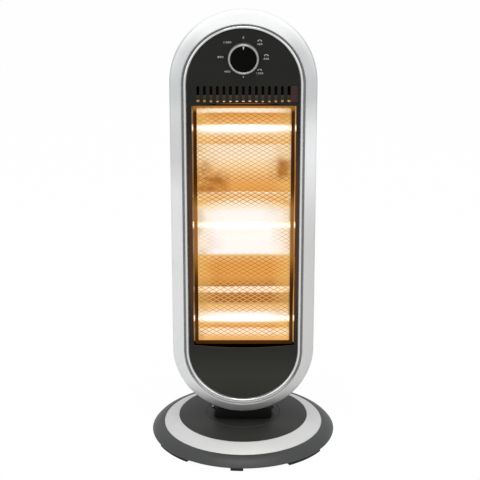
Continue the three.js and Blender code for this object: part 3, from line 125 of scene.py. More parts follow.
class Shader:
    """A node material under construction, with a Principled shader at its end."""

    def __init__(self, name):
        self.material = bpy.data.materials.new(name)
        self.material.use_nodes = True
        self.tree = self.material.node_tree
        self.surface = self.tree.nodes["Principled BSDF"]
        self.place = self.add("TexCoord").outputs["Object"]
        self.axes = None
        LOOKS[name] = self.material

    def add(self, kind, values=(), **settings):
        node = self.tree.nodes.new("ShaderNode" + kind)
        for key, value in settings.items():
            setattr(node, key, value)
        for key, value in dict(values).items():
            node.inputs[key].default_value = value
        return node

    def link(self, source, target):
        self.tree.links.new(source, target)

    def noise(self, size, detail=3.0, stretch=(1, 1, 1)):
        """Noise whose features are about the given size in millimetres."""
        scale = self.add("Mapping", {"Scale": [1 / (size * MM) * s for s in stretch]})
        self.link(self.place, scale.inputs["Vector"])
        texture = self.add("TexNoise", {"Scale": 1.0, "Detail": detail})
        self.link(scale.outputs["Vector"], texture.inputs["Vector"])
        return texture.outputs["Fac"]

    def ramp(self, factor, stops, interpolation="LINEAR"):
        """Colours or greys over a factor; stops are (position, colour)."""
        node = self.add("ValToRGB")
        node.color_ramp.interpolation = interpolation
        elements = node.color_ramp.elements
        while len(elements) < len(stops):
            elements.new(0.5)
        for element, (position, colour) in zip(elements, stops):
            element.position = position
            element.color = (*colour, 1.0)
        self.link(factor, node.inputs["Fac"])
        return node.outputs["Color"]

    def span(self, factor, low, high, start=0, end=1):
        """A factor from start..end spread over low..high."""
        node = self.add("MapRange", {"From Min": start, "From Max": end, "To Min": low, "To Max": high})
        self.link(factor, node.inputs["Value"])
        return node.outputs["Result"]

    def math(self, operation, first, second):
        node = self.add("Math", operation=operation)
        for socket, value in zip(node.inputs, (first, second)):
            if isinstance(value, (int, float)):
                socket.default_value = value
            else:
                self.link(value, socket)
        return node.outputs["Value"]

    def product(self, first, *others):
        for other in others:
            first = self.math("MULTIPLY", first, other)
        return first

    def axis(self, name):
        """Place along an axis of the heater."""
        if self.axes is None:
            self.axes = self.add("SeparateXYZ")
            self.link(self.place, self.axes.inputs["Vector"])
        return self.axes.outputs[name]

    def mix(self, factor, first, second):
        """Blend of a colour socket with another socket or a linear colour."""
        node = self.add("Mix", data_type="RGBA")
        self.link(factor, node.inputs["Factor"])
        self.link(first, node.inputs[6])
        if isinstance(second, tuple):
            node.inputs[7].default_value = (*second, 1.0)
        else:
            self.link(second, node.inputs[7])
        return node.outputs[2]

    def scaled(self, colour, factor):
        node = self.add("VectorMath", operation="SCALE")
        self.link(colour, node.inputs[0])
        self.link(factor, node.inputs["Scale"])
        return node.outputs["Vector"]

    def bump(self, height, distance):
        node = self.add("Bump", {"Distance": distance * MM, "Strength": 1.0})
        self.link(height, node.inputs["Height"])
        self.link(node.outputs["Normal"], self.surface.inputs["Normal"])


def srgb(*rgb):
    """Linear colour of an sRGB colour given in 0..255."""
    def linear(value):
        c = value / 255
        return c / 12.92 if c <= 0.04045 else ((c + 0.055) / 1.055) ** 2.4
    return tuple(linear(value) for value in rgb)


def mixed(colour, share):
    return tuple(min(1.0, value * share) for value in colour)


def finish(name, colour, roughness, metallic=0.0, mottle=8.0, spread=0.06, grain=0.6, relief=0.02,
           stretch=(1, 1, 1), specular=0.5):
    """Surface with a slightly uneven colour, uneven gloss and a fine relief."""
    shader = Shader(name)
    cloud = shader.noise(mottle, 4.0)
    tones = [(0.25, mixed(colour, 1 - spread)), (0.75, mixed(colour, 1 + spread))]
    shader.link(shader.ramp(cloud, tones), shader.surface.inputs["Base Color"])
    fine = shader.noise(grain, 2.0, stretch)
    gloss = shader.span(fine, max(0.02, roughness * 0.85), min(1.0, roughness * 1.15))
    shader.link(gloss, shader.surface.inputs["Roughness"])
    shader.surface.inputs["Metallic"].default_value = metallic
    shader.surface.inputs["Specular IOR Level"].default_value = specular
    shader.bump(fine, relief)
    return shader


def material(name, colour, roughness, **more):
    return finish(name, srgb(*colour), roughness, **more).material


MOULDED = {"mottle": 26, "spread": 0.06, "grain": 0.8, "relief": 0.025}
GRAINED = {"mottle": 20, "spread": 0.1, "grain": 0.9, "relief": 0.04}
RING_PAINT = material("ring_paint", (199, 200, 199), 0.5, metallic=0.25, mottle=40, spread=0.03,
                      grain=0.35, relief=0.01)
KNOB_TRIM = material("knob_trim", (148, 149, 147), 0.34, metallic=0.7, mottle=12, spread=0.05,
                     grain=0.4, relief=0.008)
TABLE_PLASTIC = material("table_plastic", (36, 37, 35), 0.5, specular=0.2, **MOULDED)
# painted shade: the dome under the head is a darker copy of the base's plastic
SHADED_DOME_PLASTIC = material("shaded_dome_plastic", (41, 42, 40), 0.5, specular=0.22, **MOULDED)
# painted shade: the neck under the head is a darker copy of the black plastic
SHADED_NECK_PLASTIC = material("shaded_neck_plastic", (11, 11, 11), 0.55, specular=0.12, **GRAINED)
material("dark_plastic", (57, 59, 58), 0.46, specular=0.3, **MOULDED)
material("black_plastic", (28, 28, 28), 0.5, specular=0.3, **GRAINED)
material("bright_trim", (208, 208, 208), 0.2, metallic=0.9, mottle=25, spread=0.03, grain=0.5,
         relief=0.006)
material("knob_black", (4, 5, 3), 0.3, mottle=12, spread=0.15, grain=0.6, relief=0.003, specular=0.04)
material("rubber", (26, 26, 27), 0.8, mottle=9, spread=0.15, grain=0.7, relief=0.05, specular=0.3)
material("nylon", (226, 222, 212), 0.5, mottle=14, spread=0.04, grain=0.8, relief=0.02)
material("steel", (156, 158, 161), 0.3, metallic=0.95, mottle=12, spread=0.08, grain=0.4, relief=0.01,
         stretch=(1, 1, 12))
material("iron", (58, 58, 61), 0.68, metallic=0.6, mottle=7, spread=0.2, grain=0.8, relief=0.08)
material("hot_steel", (112, 70, 30), 0.42, metallic=0.7, mottle=10, spread=0.25, grain=0.5, relief=0.01)
material("ceramic", (233, 226, 210), 0.55, mottle=5, spread=0.05, grain=0.5, relief=0.03)
material("white_print", (172, 174, 172), 0.5, mottle=3, spread=0.04, grain=0.3, relief=0.004)
material("red_lens", (46, 24, 24), 0.25, mottle=4, spread=0.12, grain=0.5, relief=0.01, specular=0.25)


def zone(shader, axis, low, high, fade, both_sides=False):
    """1 between two places along an axis, falling to 0 over a length outside them."""
    value = shader.axis(axis)
    if both_sides:
        value = shader.math("ABSOLUTE", value, 0)
    return shader.product(shader.span(value, 0, 1, (low - fade) * MM, low * MM),
                          shader.span(value, 0, 1, (high + fade) * MM, high * MM))


def repainted(shader, factor, colour):
    """Part of the surface takes another base colour."""
    socket = shader.surface.inputs["Base Color"]
    shader.link(shader.mix(factor, socket.links[0].from_socket, srgb(*colour)), socket)


def black_panel():
    """Black face with painted light: the lamps' warm glow beside the window, strongest by the middle
    lamp, and lighter towards the bottom.
    """
    shader = finish("black_panel", srgb(21, 22, 19), 0.42, mottle=30, spread=0.1, grain=0.5,
                    relief=0.012, specular=0.16)
    beside = zone(shader, "X", WINDOW_HALF - 2, WINDOW_HALF + 2, 9, both_sides=True)
    along = zone(shader, "Z", LAMP_HEIGHTS[1] - 90, LAMP_HEIGHTS[1] + 60, 90)
    # painted light: brown glow of the lamps beside the window, strongest by the middle lamp
    repainted(shader, shader.product(beside, along), (68, 44, 26))
    # painted light: the face is lighter towards the bottom
    repainted(shader, zone(shader, "Z", 0, 110, 60), (44, 44, 40))
    return shader.material


black_panel()

# How the studio light changes the silver paint over the head: what a tint is for, its heights, its
# places across with whether it lies on both sides, its share and its colour. A range is (low, high,
# fade) in millimetres.
SILVER_TINTS = [
    ("crown", (652, 700, 45), None, False, 1, (229, 230, 230)),
    ("shoulders", (540, 608, 40), (70, 110, 20), True, 0.8, (179, 181, 182)),
    ("left side", (450, 500, 50), (-110, -80, 20), False, 0.85, (190, 191, 191)),
    ("right side", (400, 470, 40), (80, 110, 20), False, 1, (224, 225, 226)),
    ("low on the right", (100, 330, 120), (60, 110, 40), False, 0.8, (192, 191, 190)),
    ("bottom", (0, 62, 40), None, False, 1, (168, 169, 167)),
]


def silver_paint():
    """Silver paint with painted light and shade, lightest over the head's top and darkest under its
    bottom.
    """
    shader = finish("silver_paint", srgb(214, 215, 215), 0.36, metallic=0.6, mottle=40, spread=0.03,
                    grain=0.35, relief=0.008)
    for _, heights, across, both_sides, share, colour in SILVER_TINTS:
        factor = zone(shader, "Z", *heights)
        if across:
            factor = shader.product(factor, zone(shader, "X", *across, both_sides))
        repainted(shader, shader.product(factor, share), colour)
    return shader.material


def groove_shade():
    """Shaded floor of the bezel's groove; the light from above reaches it at the bottom."""
    shader = finish("groove_shade", srgb(142, 144, 143), 0.6, mottle=12, spread=0.08, grain=0.6,
                    relief=0.01, specular=0.15)
    repainted(shader, zone(shader, "Z", 0, 84, 30), (232, 233, 231))
    return shader.material


silver_paint()
GROOVE_SHADE = groove_shade()


# Light that the lamps throw on what stands round them, painted as a glow, with the lamps' painted
# reflections in the reflector, by height over each lamp in millimetres, from the lowest upwards. The
# lists run from the top lamp to the bottom one.
WHITE = srgb(255, 254, 250)
CREAM = srgb(254, 240, 214)
PALE = srgb(250, 222, 172)
PEACH = srgb(243, 196, 132)
AMBER = srgb(233, 166, 84)
SUNNY = srgb(250, 208, 124)
OCHRE = srgb(218, 152, 78)
HONEY = srgb(226, 176, 112)
TAN = srgb(186, 122, 54)
RUST = srgb(190, 126, 54)
BARK = srgb(164, 102, 40)
UMBER = srgb(104, 62, 20)
EMBER = srgb(70, 36, 10)
# painted shade inside the painted glow, where the lamps' light does not reach
DIM_GLOW = srgb(30, 20, 12)
REFLECTOR_GLOW = [
    [(-74, PEACH), (-60, PALE), (-46, CREAM), (-33, CREAM), (-30, PEACH), (-20, PALE), (-15, WHITE),
     (-7, WHITE), (-5, PEACH), (8, AMBER), (12, OCHRE), (14, CREAM), (19, CREAM), (22, RUST),
     (25, UMBER), (31.4, UMBER), (32.4, PALE), (33.2, PALE), (34, DIM_GLOW), (60, DIM_GLOW)],
    [(-74, AMBER), (-63, AMBER), (-50, PEACH), (-48, WHITE), (4, WHITE), (24, CREAM), (33, PALE),
     (37, PEACH), (45.4, PEACH), (46.2, CREAM), (47.6, CREAM), (48.4, AMBER), (58, AMBER), (74, PEACH)],
    [(-60, UMBER), (-47.6, DIM_GLOW), (-47, AMBER), (-46.4, DIM_GLOW), (-45, DIM_GLOW), (-43, AMBER), (-37, PEACH),
     (-34, CREAM), (-29, CREAM), (-26, AMBER), (-21, PEACH), (-18, WHITE), (-8, WHITE), (-2, PALE),
     (6, PEACH), (12, BARK), (30, BARK), (33, CREAM), (47, CREAM), (48, BARK), (54, RUST), (64, AMBER),
     (74, AMBER)],
]
REFLECTOR_BEND = [4, 22, 0]  # how much lower the light lies at the sides, above each lamp
GUARD_GLOW = [
    [(-74, TAN), (-60, OCHRE), (-46, HONEY), (-25, HONEY), (-20, TAN), (-11, TAN), (-6, HONEY),
     (-2, WHITE), (6, WHITE), (9, OCHRE), (12, TAN), (24, TAN), (28, CREAM), (31, CREAM), (36, UMBER)],
    [(-74, TAN), (-46, TAN), (-42, PALE), (-38, WHITE), (24, WHITE), (32, PALE), (40, TAN), (54, TAN),
     (64, OCHRE), (74, TAN)],
    [(-60, TAN), (-34, OCHRE), (-26, HONEY), (-21, OCHRE), (-14, OCHRE), (-9, TAN), (-3, HONEY),
     (0, WHITE), (11, WHITE), (16, OCHRE), (27, OCHRE), (30, HONEY), (45, HONEY), (47, OCHRE),
     (56, OCHRE), (59, HONEY), (66, OCHRE), (74, TAN)],
]
FRAME_GLOW = [
    [(-74, EMBER), (-10, EMBER), (0, UMBER), (8, EMBER), (26, EMBER), (31, RUST), (38, RUST),
     (60, DIM_GLOW)],
    [(-74, UMBER), (-46, RUST), (30, RUST), (52, UMBER), (74, EMBER)],
    [(-60, DIM_GLOW), (-46, DIM_GLOW), (-42, EMBER), (-36, EMBER), (-6, UMBER), (4, UMBER), (14, EMBER),
     (56, EMBER), (74, UMBER)],
]
HALF_ZONE = 74  # from a lamp to halfway to the next


BEND_REACH = 20  # the light is lowered in full from here on over a lamp
BEND_END = (30, 44)  # and no more between these heights


def lamp_light(shader, bands, bend=(0, 0, 0), wobble=0.0):
    """Colour of the lamps' light at a height in the head, as nodes."""
    height = shader.axis("Z")
    if wobble:
        height = shader.math("ADD", height, shader.span(shader.noise(30, 2.0), -wobble * MM, wobble * MM))
    across = shader.math("DIVIDE", shader.axis("X"), WINDOW_HALF * MM)
    side = shader.product(across, across)
    total = None
    for lamp, band, drop in zip(LAMP_HEIGHTS, bands, bend):
        offset = shader.math("SUBTRACT", height, lamp * MM)
        if drop:
            upper = shader.span(offset, 0, drop * MM, 0, BEND_REACH * MM)
            fade = shader.span(offset, 1, 0, *(value * MM for value in BEND_END))
            offset = shader.math("ADD", offset, shader.product(side, shader.product(upper, fade)))
        share = shader.span(offset, 0, 1, -HALF_ZONE * MM, HALF_ZONE * MM)
        stops = [((rise + HALF_ZONE) / (2 * HALF_ZONE), colour) for rise, colour in band]
        colour = shader.ramp(share, stops)
        if total is not None:
            below = shader.math("LESS_THAN", height, (lamp + HALF_ZONE) * MM)
            colour = shader.mix(below, total, colour)
        total = colour
    return total


# Browner places in the painted light on the reflector between the upper two lamps, as (x range), (z
# range)
BROWN_PATCHES = [((52, 62), (LAMP_HEIGHTS[0] - 72, LAMP_HEIGHTS[0] - 54)),
            ((-62, -34), (LAMP_HEIGHTS[0] - 94, LAMP_HEIGHTS[0] - 76)),
            ((-60, -56), (LAMP_HEIGHTS[0] - 80, LAMP_HEIGHTS[0] - 60))]


WARM_SIDES = 0.5  # share of yellow in the light at the sides of the window
WARM_FROM, WARM_TO = 40, 72
RED_FROM, RED_TO = 25, 62


def grey(value):
    return (value, value, value)


def sides_dimmed(shader, light, start, end, share, redness):
    """The light falls to a share of itself towards the sides, where it is warmer and browned."""
    across = shader.math("ABSOLUTE", shader.axis("X"), 0)
    fall = shader.span(across, 1, share, start * MM, end * MM)
    if redness:
        light = shader.mix(shader.span(across, 0, WARM_SIDES, WARM_FROM * MM, WARM_TO * MM), light, SUNNY)
        patch = shader.ramp(shader.noise(34, 1.0), [(0.5, grey(0)), (0.62, grey(1))])
        brown = shader.product(shader.span(across, 0, redness, RED_FROM * MM, RED_TO * MM), patch)
        mottled = shader.ramp(shader.noise(16, 2.0), [(0.36, grey(0.25)), (0.6, grey(0.95))])
        for (near, far), (low, high) in BROWN_PATCHES:
            spot = shader.product(zone(shader, "X", near, far, 18), zone(shader, "Z", low, high, 14),
                                  mottled)
            brown = shader.math("MAXIMUM", brown, spot)
        light = shader.mix(brown, light, BARK)
        light = shader.mix(shader.product(shader.math("SUBTRACT", 1.0, fall), redness), light, RUST)
    return shader.scaled(light, fall)


# painted shade: the metal beyond the reach of the lamps' light is darker
UNLIT_METAL = (22, 19, 17)  # colour of the metal beyond the reach of the light
LIT_BELOW, LIT_ABOVE = 42, 35  # reach of the light under the lowest and over the highest lamp


def lamp_lit(name, colour, roughness, bands, strength, metallic=1.0, bend=(0, 0, 0), wobble=0.0,
             dim=None, **more):
    """A metal surface inside the head with the lamps' light painted on it as a glow, and painted shade
    beyond the light's reach.
    """
    shader = finish(name, srgb(*colour), roughness, metallic=metallic, **more)
    lit_part = zone(shader, "Z", LAMP_HEIGHTS[2] - LIT_BELOW, LAMP_HEIGHTS[0] + LIT_ABOVE, 1)
    # painted shade above the top lamp and below the bottom one
    repainted(shader, shader.math("SUBTRACT", 1.0, lit_part), UNLIT_METAL)
    light = lamp_light(shader, bands, bend, wobble)
    if dim:
        light = sides_dimmed(shader, light, *dim)
    shader.link(shader.scaled(light, lit_part), shader.surface.inputs["Emission Color"])
    shader.surface.inputs["Emission Strength"].default_value = strength
    return shader.material


lamp_lit("reflector", (84, 52, 28), 0.32, REFLECTOR_GLOW, 0.92, bend=REFLECTOR_BEND,
                     wobble=1.5, dim=(67, 71, 0.3, 0.3), mottle=18, grain=1.5, relief=0.01)
GUARD_MESH = lamp_lit("guard_strands", (60, 36, 16), 0.45, GUARD_GLOW, 0.95, dim=(52, 74, 0.7, 0.4),
                      mottle=9, spread=0.2, grain=0.5, relief=0.01)
CHEEK_GLOW = [[(-74, TAN), (-46, OCHRE), (-8, HONEY), (8, HONEY), (46, OCHRE), (74, TAN)]] * 3
CHEEK = lamp_lit("reflector_cheek", (84, 52, 28), 0.36, CHEEK_GLOW, 0.62, metallic=0.7, mottle=18,
                 grain=1.5, relief=0.01)
LIT_STEEL = lamp_lit("lit_steel", (84, 56, 34), 0.4, CHEEK_GLOW, 0.5, metallic=0.7, mottle=12,
                     spread=0.15, grain=0.6, relief=0.01)
GUARD_FRAME = lamp_lit("guard_frame", (34, 18, 7), 0.45, FRAME_GLOW, 0.9, dim=(40, 76, 0.6, 0.0),
                       mottle=9, spread=0.2, grain=0.5, relief=0.01)

RIM_AT_ENDS, RIM_IN_MIDDLE = 4.5, 0.8  # how far a lamp's edge colour spreads over it


def lit(name, colour, rim, strength, rim_share, end_share):
    """Glowing glass or wire, brightest where it faces the viewer and away from its ends."""
    shader = finish(name, colour, 0.2, mottle=6, spread=0.02, grain=0.6, relief=0.004)
    warm = shader.ramp(shader.noise(20, 2.0), [(0.3, mixed(colour, 0.97)), (0.7, colour)])
    facing = shader.add("LayerWeight", {"Blend": 0.5}).outputs["Facing"]
    inward = zone(shader, "X", 0, 20, 50, both_sides=True)
    spread = shader.product(facing, shader.span(inward, RIM_AT_ENDS, RIM_IN_MIDDLE))
    glow = shader.mix(shader.math("MINIMUM", spread, 1.0), warm, rim)
    shader.link(glow, shader.surface.inputs["Emission Color"])
    ends, rims = shader.span(inward, end_share, 1), shader.span(facing, 1, rim_share)
    shader.link(shader.product(ends, rims, strength), shader.surface.inputs["Emission Strength"])
    return shader.material


lit("quartz", srgb(255, 250, 236), srgb(240, 182, 104), 1.12, 0.9, 0.74)
lit("filament", srgb(255, 236, 190), srgb(255, 220, 160), 4.0, 1.0, 0.8)


# ---- Mesh helpers ----
def placed(name, data):
    """New object in the scene."""
    result = bpy.data.objects.new(name, data)
    bpy.context.scene.collection.objects.link(result)
    return result


def raw_mesh(name, verts, faces):
    """Mesh in metres from vertices in millimetres."""
    mesh = bpy.data.meshes.new(name)
    mesh.from_pydata([[value * MM for value in vert] for vert in verts], [], faces)
    return mesh


def piece(name, form, body, slot, **more):
    """A new piece from its vertices and faces."""
    return dressed(name, raw_mesh(name, *form), body, slot, **more)


def dressed(name, mesh, body, slot, look=None, sharp=35, node=None):
    """A piece from a mesh, in the look of its slot or in another."""
    tidy(mesh)
    mesh.shade_smooth()
    mesh.set_sharp_from_angle(angle=radians(sharp))
    mesh.materials.clear()
    mesh.materials.append(look or LOOKS[slot])
    result = placed(name, mesh)
    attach(result, body)
    if node:
        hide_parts(*([node] if isinstance(node, str) else node))
    return result


def tidy(mesh):
    """Vertices welded and faces turned outwards."""
    work = bmesh.new()
    work.from_mesh(mesh)
    bmesh.ops.remove_doubles(work, verts=work.verts, dist=1e-7)
    bmesh.ops.recalc_face_normals(work, faces=work.faces)
    work.to_mesh(mesh)
    work.free()


def grid(rings, closed=True, capped=False):
    """Vertices and faces of a skin through rings of equally many points."""
    across = len(rings[0])
    verts = [point for ring in rings for point in ring]
    faces = []
    last = len(rings) if closed else len(rings) - 1
    for i in range(last):
        for j in range(across):
            k, n = (j + 1) % across, (i + 1) % len(rings)
            faces.append((i * across + j, i * across + k, n * across + k, n * across + j))
    if capped:
        faces.append(tuple(range(across)))
        faces.append(tuple((len(rings) - 1) * across + j for j in range(across)))
    return verts, faces


def revolve(section, segments=96, axis="z", centre=(0, 0, 0)):
    """A closed section of (radius, height) turned round an axis."""
    rings = []
    for r, h in section:
        ring = []
        for step in range(segments):
            angle = 2 * pi * step / segments
            u, v = r * cos(angle), r * sin(angle)
            local = {"z": (u, v, h), "x": (h, u, v), "y": (u, h, v)}[axis]
            ring.append([a + b for a, b in zip(local, centre)])
        rings.append(ring)
    return grid(rings)


def arc(centre, radius, start, end, steps):
    """Points on an arc, angles in degrees."""
    points = []
    for step in range(steps + 1):
        angle = radians(start + (end - start) * step / steps)
        points.append((centre[0] + radius * cos(angle), centre[1] + radius * sin(angle)))
    return points


def rounded(section, radius, steps=3):
    """A closed section whose corners are rounded, by no more than its sides allow."""
    points = []
    count = len(section)
    for i, corner in enumerate(section):
        before, after = Vector(section[i - 1]), Vector(section[(i + 1) % count])
        here = Vector(corner)
        back, ahead = before - here, after - here
        reach = min(radius, back.length * 0.45, ahead.length * 0.45)
        start, end = here + back.normalized() * reach, here + ahead.normalized() * reach
        for step in range(steps + 1):
            t = step / steps
            points.append(tuple(start.lerp(here, t).lerp(here.lerp(end, t), t)))
    return points


END_STEPS = 48
FACE_DROP = 2.6


def head_outline(inset):
    """Upright sides with half-round ends, as (x, z); the face inside the band sits a little lower."""
    radius = HEAD_R - inset
    drop = FACE_DROP * min(1, max(0, (inset - BEZEL_WALL) / (BAND_WIDTH - 3 - BEZEL_WALL)))
    points = []
    for side, turn in ((1, 0), (-1, 180)):
        centre = (0, HEAD_MIDDLE + side * HEAD_STRAIGHT - drop)
        points += arc(centre, radius, turn, turn + 180, END_STEPS)
    return points


def head_rings(section):
    return [[(x, y, z) for x, z in head_outline(inset)] for inset, y in section]


def rounded_rect(width, height, radius, x=0, z=0, steps=6):
    a, b = width / 2 - radius, height / 2 - radius
    points = []
    for quarter, (u, v) in enumerate(((a, b), (-a, b), (-a, -b), (a, -b))):
        points += arc((x + u, z + v), radius, 90 * quarter, 90 * quarter + 90, steps)
    return points


def evaluated(source):
    """Mesh of an object with its modifiers or its curve worked out."""
    graph = bpy.context.evaluated_depsgraph_get()
    mesh = bpy.data.meshes.new_from_object(source.evaluated_get(graph))
    bpy.data.objects.remove(source)
    return mesh


def plate(loops, low, high, edge, axis="y", steps=2):
    """Mesh in metres of a flat sheet with holes and rounded edges, between two places on an axis."""
    curve = bpy.data.curves.new("sheet", "CURVE")
    curve.dimensions = "2D"
    curve.fill_mode = "BOTH"
    for loop in loops:
        spline = curve.splines.new("POLY")
        spline.points.add(len(loop) - 1)
        for point, (u, v) in zip(spline.points, loop):
            point.co = (u * MM, v * MM, 0, 1)
        spline.use_cyclic_u = True
    curve.extrude = ((high - low) / 2 - edge) * MM
    curve.bevel_depth = edge * MM
    curve.bevel_resolution = steps
    curve.offset = -edge * MM
    mesh = evaluated(placed("sheet", curve))
    if axis == "y":
        mesh.transform(Matrix.Rotation(pi / 2, 4, "X"))
        mesh.transform(Matrix.Translation((0, (low + high) / 2 * MM, 0)))
    else:
        mesh.transform(Matrix.Translation((0, 0, (low + high) / 2 * MM)))
    return mesh


def mesh_of(verts, faces):
    mesh = raw_mesh("form", verts, faces)
    tidy(mesh)
    return mesh


def combined(first, *others, operation="DIFFERENCE"):
    """Boolean of closed meshes."""
    target = placed("target", first)
    helpers = []
    for mesh in others:
        helper = placed("helper", mesh)
        helpers.append(helper)
        modifier = target.modifiers.new("cut", "BOOLEAN")
        modifier.operation = operation
        modifier.solver = "EXACT"
        modifier.object = helper
    result = evaluated(target)
    for helper in helpers:
        bpy.data.objects.remove(helper)
    return result


def drum(radius, low, high, axis, centre, segments=32):
    """Closed mesh of a round bar between two places on an axis."""
    section = [(0.01, low), (radius, low), (radius, high), (0.01, high)]
    return mesh_of(*revolve(section, segments, axis, centre))


def box_form(low, high):
    corners = [(x, y, z) for x in (low[0], high[0]) for y in (low[1], high[1]) for z in (low[2], high[2])]
    return corners, [(0, 1, 3, 2), (4, 6, 7, 5), (0, 4, 5, 1), (2, 3, 7, 6), (0, 2, 6, 4), (1, 5, 7, 3)]


# ---- Head: bezel, rim and panel ----
SKIRT_Y = HEAD_FRONT + SKIRT_DEPTH
GROOVE_Y = HEAD_FRONT + GROOVE_DEPTH
RIM_INSET = BAND_WIDTH + GROOVE_WIDTH
LEDGE_INSET = PANEL_INSET + 3.7


def front_bezel():
    """Silver band that slopes back towards its outer side, with painted shade on the floor of the groove
    inside it.
    """
    crown = HEAD_FRONT
    edge_y = crown + BAND_SLOPE
    corner = [(BAND_EDGE_R * (1 - cos(a)), edge_y + BAND_EDGE_R * (1 - sin(a)))
              for a in (radians(75 * step / 8) for step in range(9))]
    section = [
        (0, SKIRT_Y), *corner,
        (BAND_WIDTH * 0.5, crown + BAND_SLOPE * 0.42),
        (BAND_WIDTH - 2.4, crown + 0.35),
        (BAND_WIDTH - 1.3, crown),
        (BAND_WIDTH - 0.4, crown + 0.2),
        (BAND_WIDTH, crown + 0.8),
        (BAND_WIDTH, GROOVE_Y - 1.2),
        (BAND_WIDTH, GROOVE_Y),
        (PANEL_INSET - FIT, GROOVE_Y),
        (PANEL_INSET - FIT, PANEL_BACK + FIT),
        (LEDGE_INSET, PANEL_BACK + FIT),
        (LEDGE_INSET, BEZEL_BACK),
        (BEZEL_WALL, BEZEL_BACK),
        (BEZEL_WALL, SKIRT_Y),
    ]
    form = grid(head_rings(section))
    bezel = piece("bezel", form, "head", "silver_paint", node="front_bezel")
    bezel.data.materials.append(GROOVE_SHADE)
    # faces on the groove's floor take the painted shade of groove_shade
    for face in bezel.data.polygons:
        x, y, z = face.center / MM
        end = max(0, abs(z - HEAD_MIDDLE) - HEAD_STRAIGHT)
        in_groove = abs(y - GROOVE_Y) < 0.7 and hypot(x, end) < HEAD_R - BAND_WIDTH + 2
        face.material_index = int(in_groove)
    return bezel


def inner_rim():
    foot = GROOVE_Y - FIT
    centre = (RIM_INSET + PANEL_INSET - 2 * FIT) / 2
    half = (PANEL_INSET - FIT - RIM_INSET) / 2 - FIT / 2
    crown = foot - (RIM_STAND - half)
    section = [(centre - half, foot), *((centre + half * cos(a), crown - half * sin(a))
               for a in (radians(180 - 180 * step / 10) for step in range(11))), (centre + half, foot)]
    form = grid(head_rings(section))
    return piece("rim", form, "head", "bright_trim", node="inner_rim")


def window_loop():
    """Window with a shallow arch at its top and bottom, as (x, z)."""
    points = []
    steps = 24
    for side, edge in ((1, WINDOW_TOP), (-1, WINDOW_FOOT)):
        for step in range(steps + 1):
            t = 1 - 2 * step / steps
            x = WINDOW_SHIFT + side * t * WINDOW_LIP_HALF
            points.append((x, edge + side * WINDOW_RISE * (1 - t * t)))
    return points


SLOT_LOW, SLOT_HIGH = mm_box("pilot_lens")
LENS_MIDDLE = middle("pilot_lens")
SLOT_Z = LENS_MIDDLE[2]
SLOT_HEIGHT = 24
LENS_HALF = (SLOT_HIGH[0] - SLOT_LOW[0]) / 2


def slot_places():
    last = SLOT_LOW[0] - 0.7 - SLOT_WIDTH / 2
    return [last - SLOT_PITCH * i for i in range(SLOT_COUNT)]


def front_panel():
    loops = [head_outline(PANEL_INSET), window_loop()]
    reach = SLOT_HEIGHT / 2 - SLOT_WIDTH / 2
    for x in slot_places():
        loops.append(arc((x, SLOT_Z + reach), SLOT_WIDTH / 2, 0, 180, 8)
                     + arc((x, SLOT_Z - reach), SLOT_WIDTH / 2, 180, 360, 8))
    loops.append(rounded_rect(2 * LENS_HALF + 2 * FIT, SLOT_HEIGHT + 2 * FIT, 1, LENS_MIDDLE[0], SLOT_Z))
    loops.append(arc((0, KNOB_MIDDLE[2]), 6, 0, 354, 39))
    mesh = plate(loops, PANEL_FRONT, PANEL_BACK, 0.35)
    return dressed("panel", mesh, "head", "black_panel", node="front_panel")


front_bezel()
inner_rim()
front_panel()


def pilot_lens():
    face = rounded_rect(2 * LENS_HALF, SLOT_HEIGHT, 1, LENS_MIDDLE[0], SLOT_Z)
    mesh = plate([face], SLOT_LOW[1], PANEL_BACK + FIT, 0.5)
    return dressed("lens", mesh, "head", "red_lens", node="pilot_lens")


pilot_lens()

# ---- Head: guard ----
GUARD_LOW, GUARD_HIGH = mm_box("grille_frame")
MESH_LOW, MESH_HIGH = mm_box("grille_mesh")
GUARD_MIDDLE = middle("grille_frame")
GUARD_BAR = 5.0
GUARD_DROP = 1.6


def guard_frame():
    width, height = GUARD_HIGH[0] - GUARD_LOW[0], GUARD_HIGH[2] - GUARD_LOW[2]
    middle_z = GUARD_MIDDLE[2] - GUARD_DROP / 2
    height += GUARD_DROP
    loops = [rounded_rect(width, height, 3, WINDOW_SHIFT, middle_z),
             rounded_rect(width - 2 * GUARD_BAR, height - 2 * GUARD_BAR, 1.5, WINDOW_SHIFT, middle_z)]
    mesh = plate(loops, GUARD_LOW[1], GUARD_HIGH[1], 0.5, steps=3)
    return dressed("guard_frame", mesh, "head", "hot_steel", look=GUARD_FRAME, node="grille_frame")


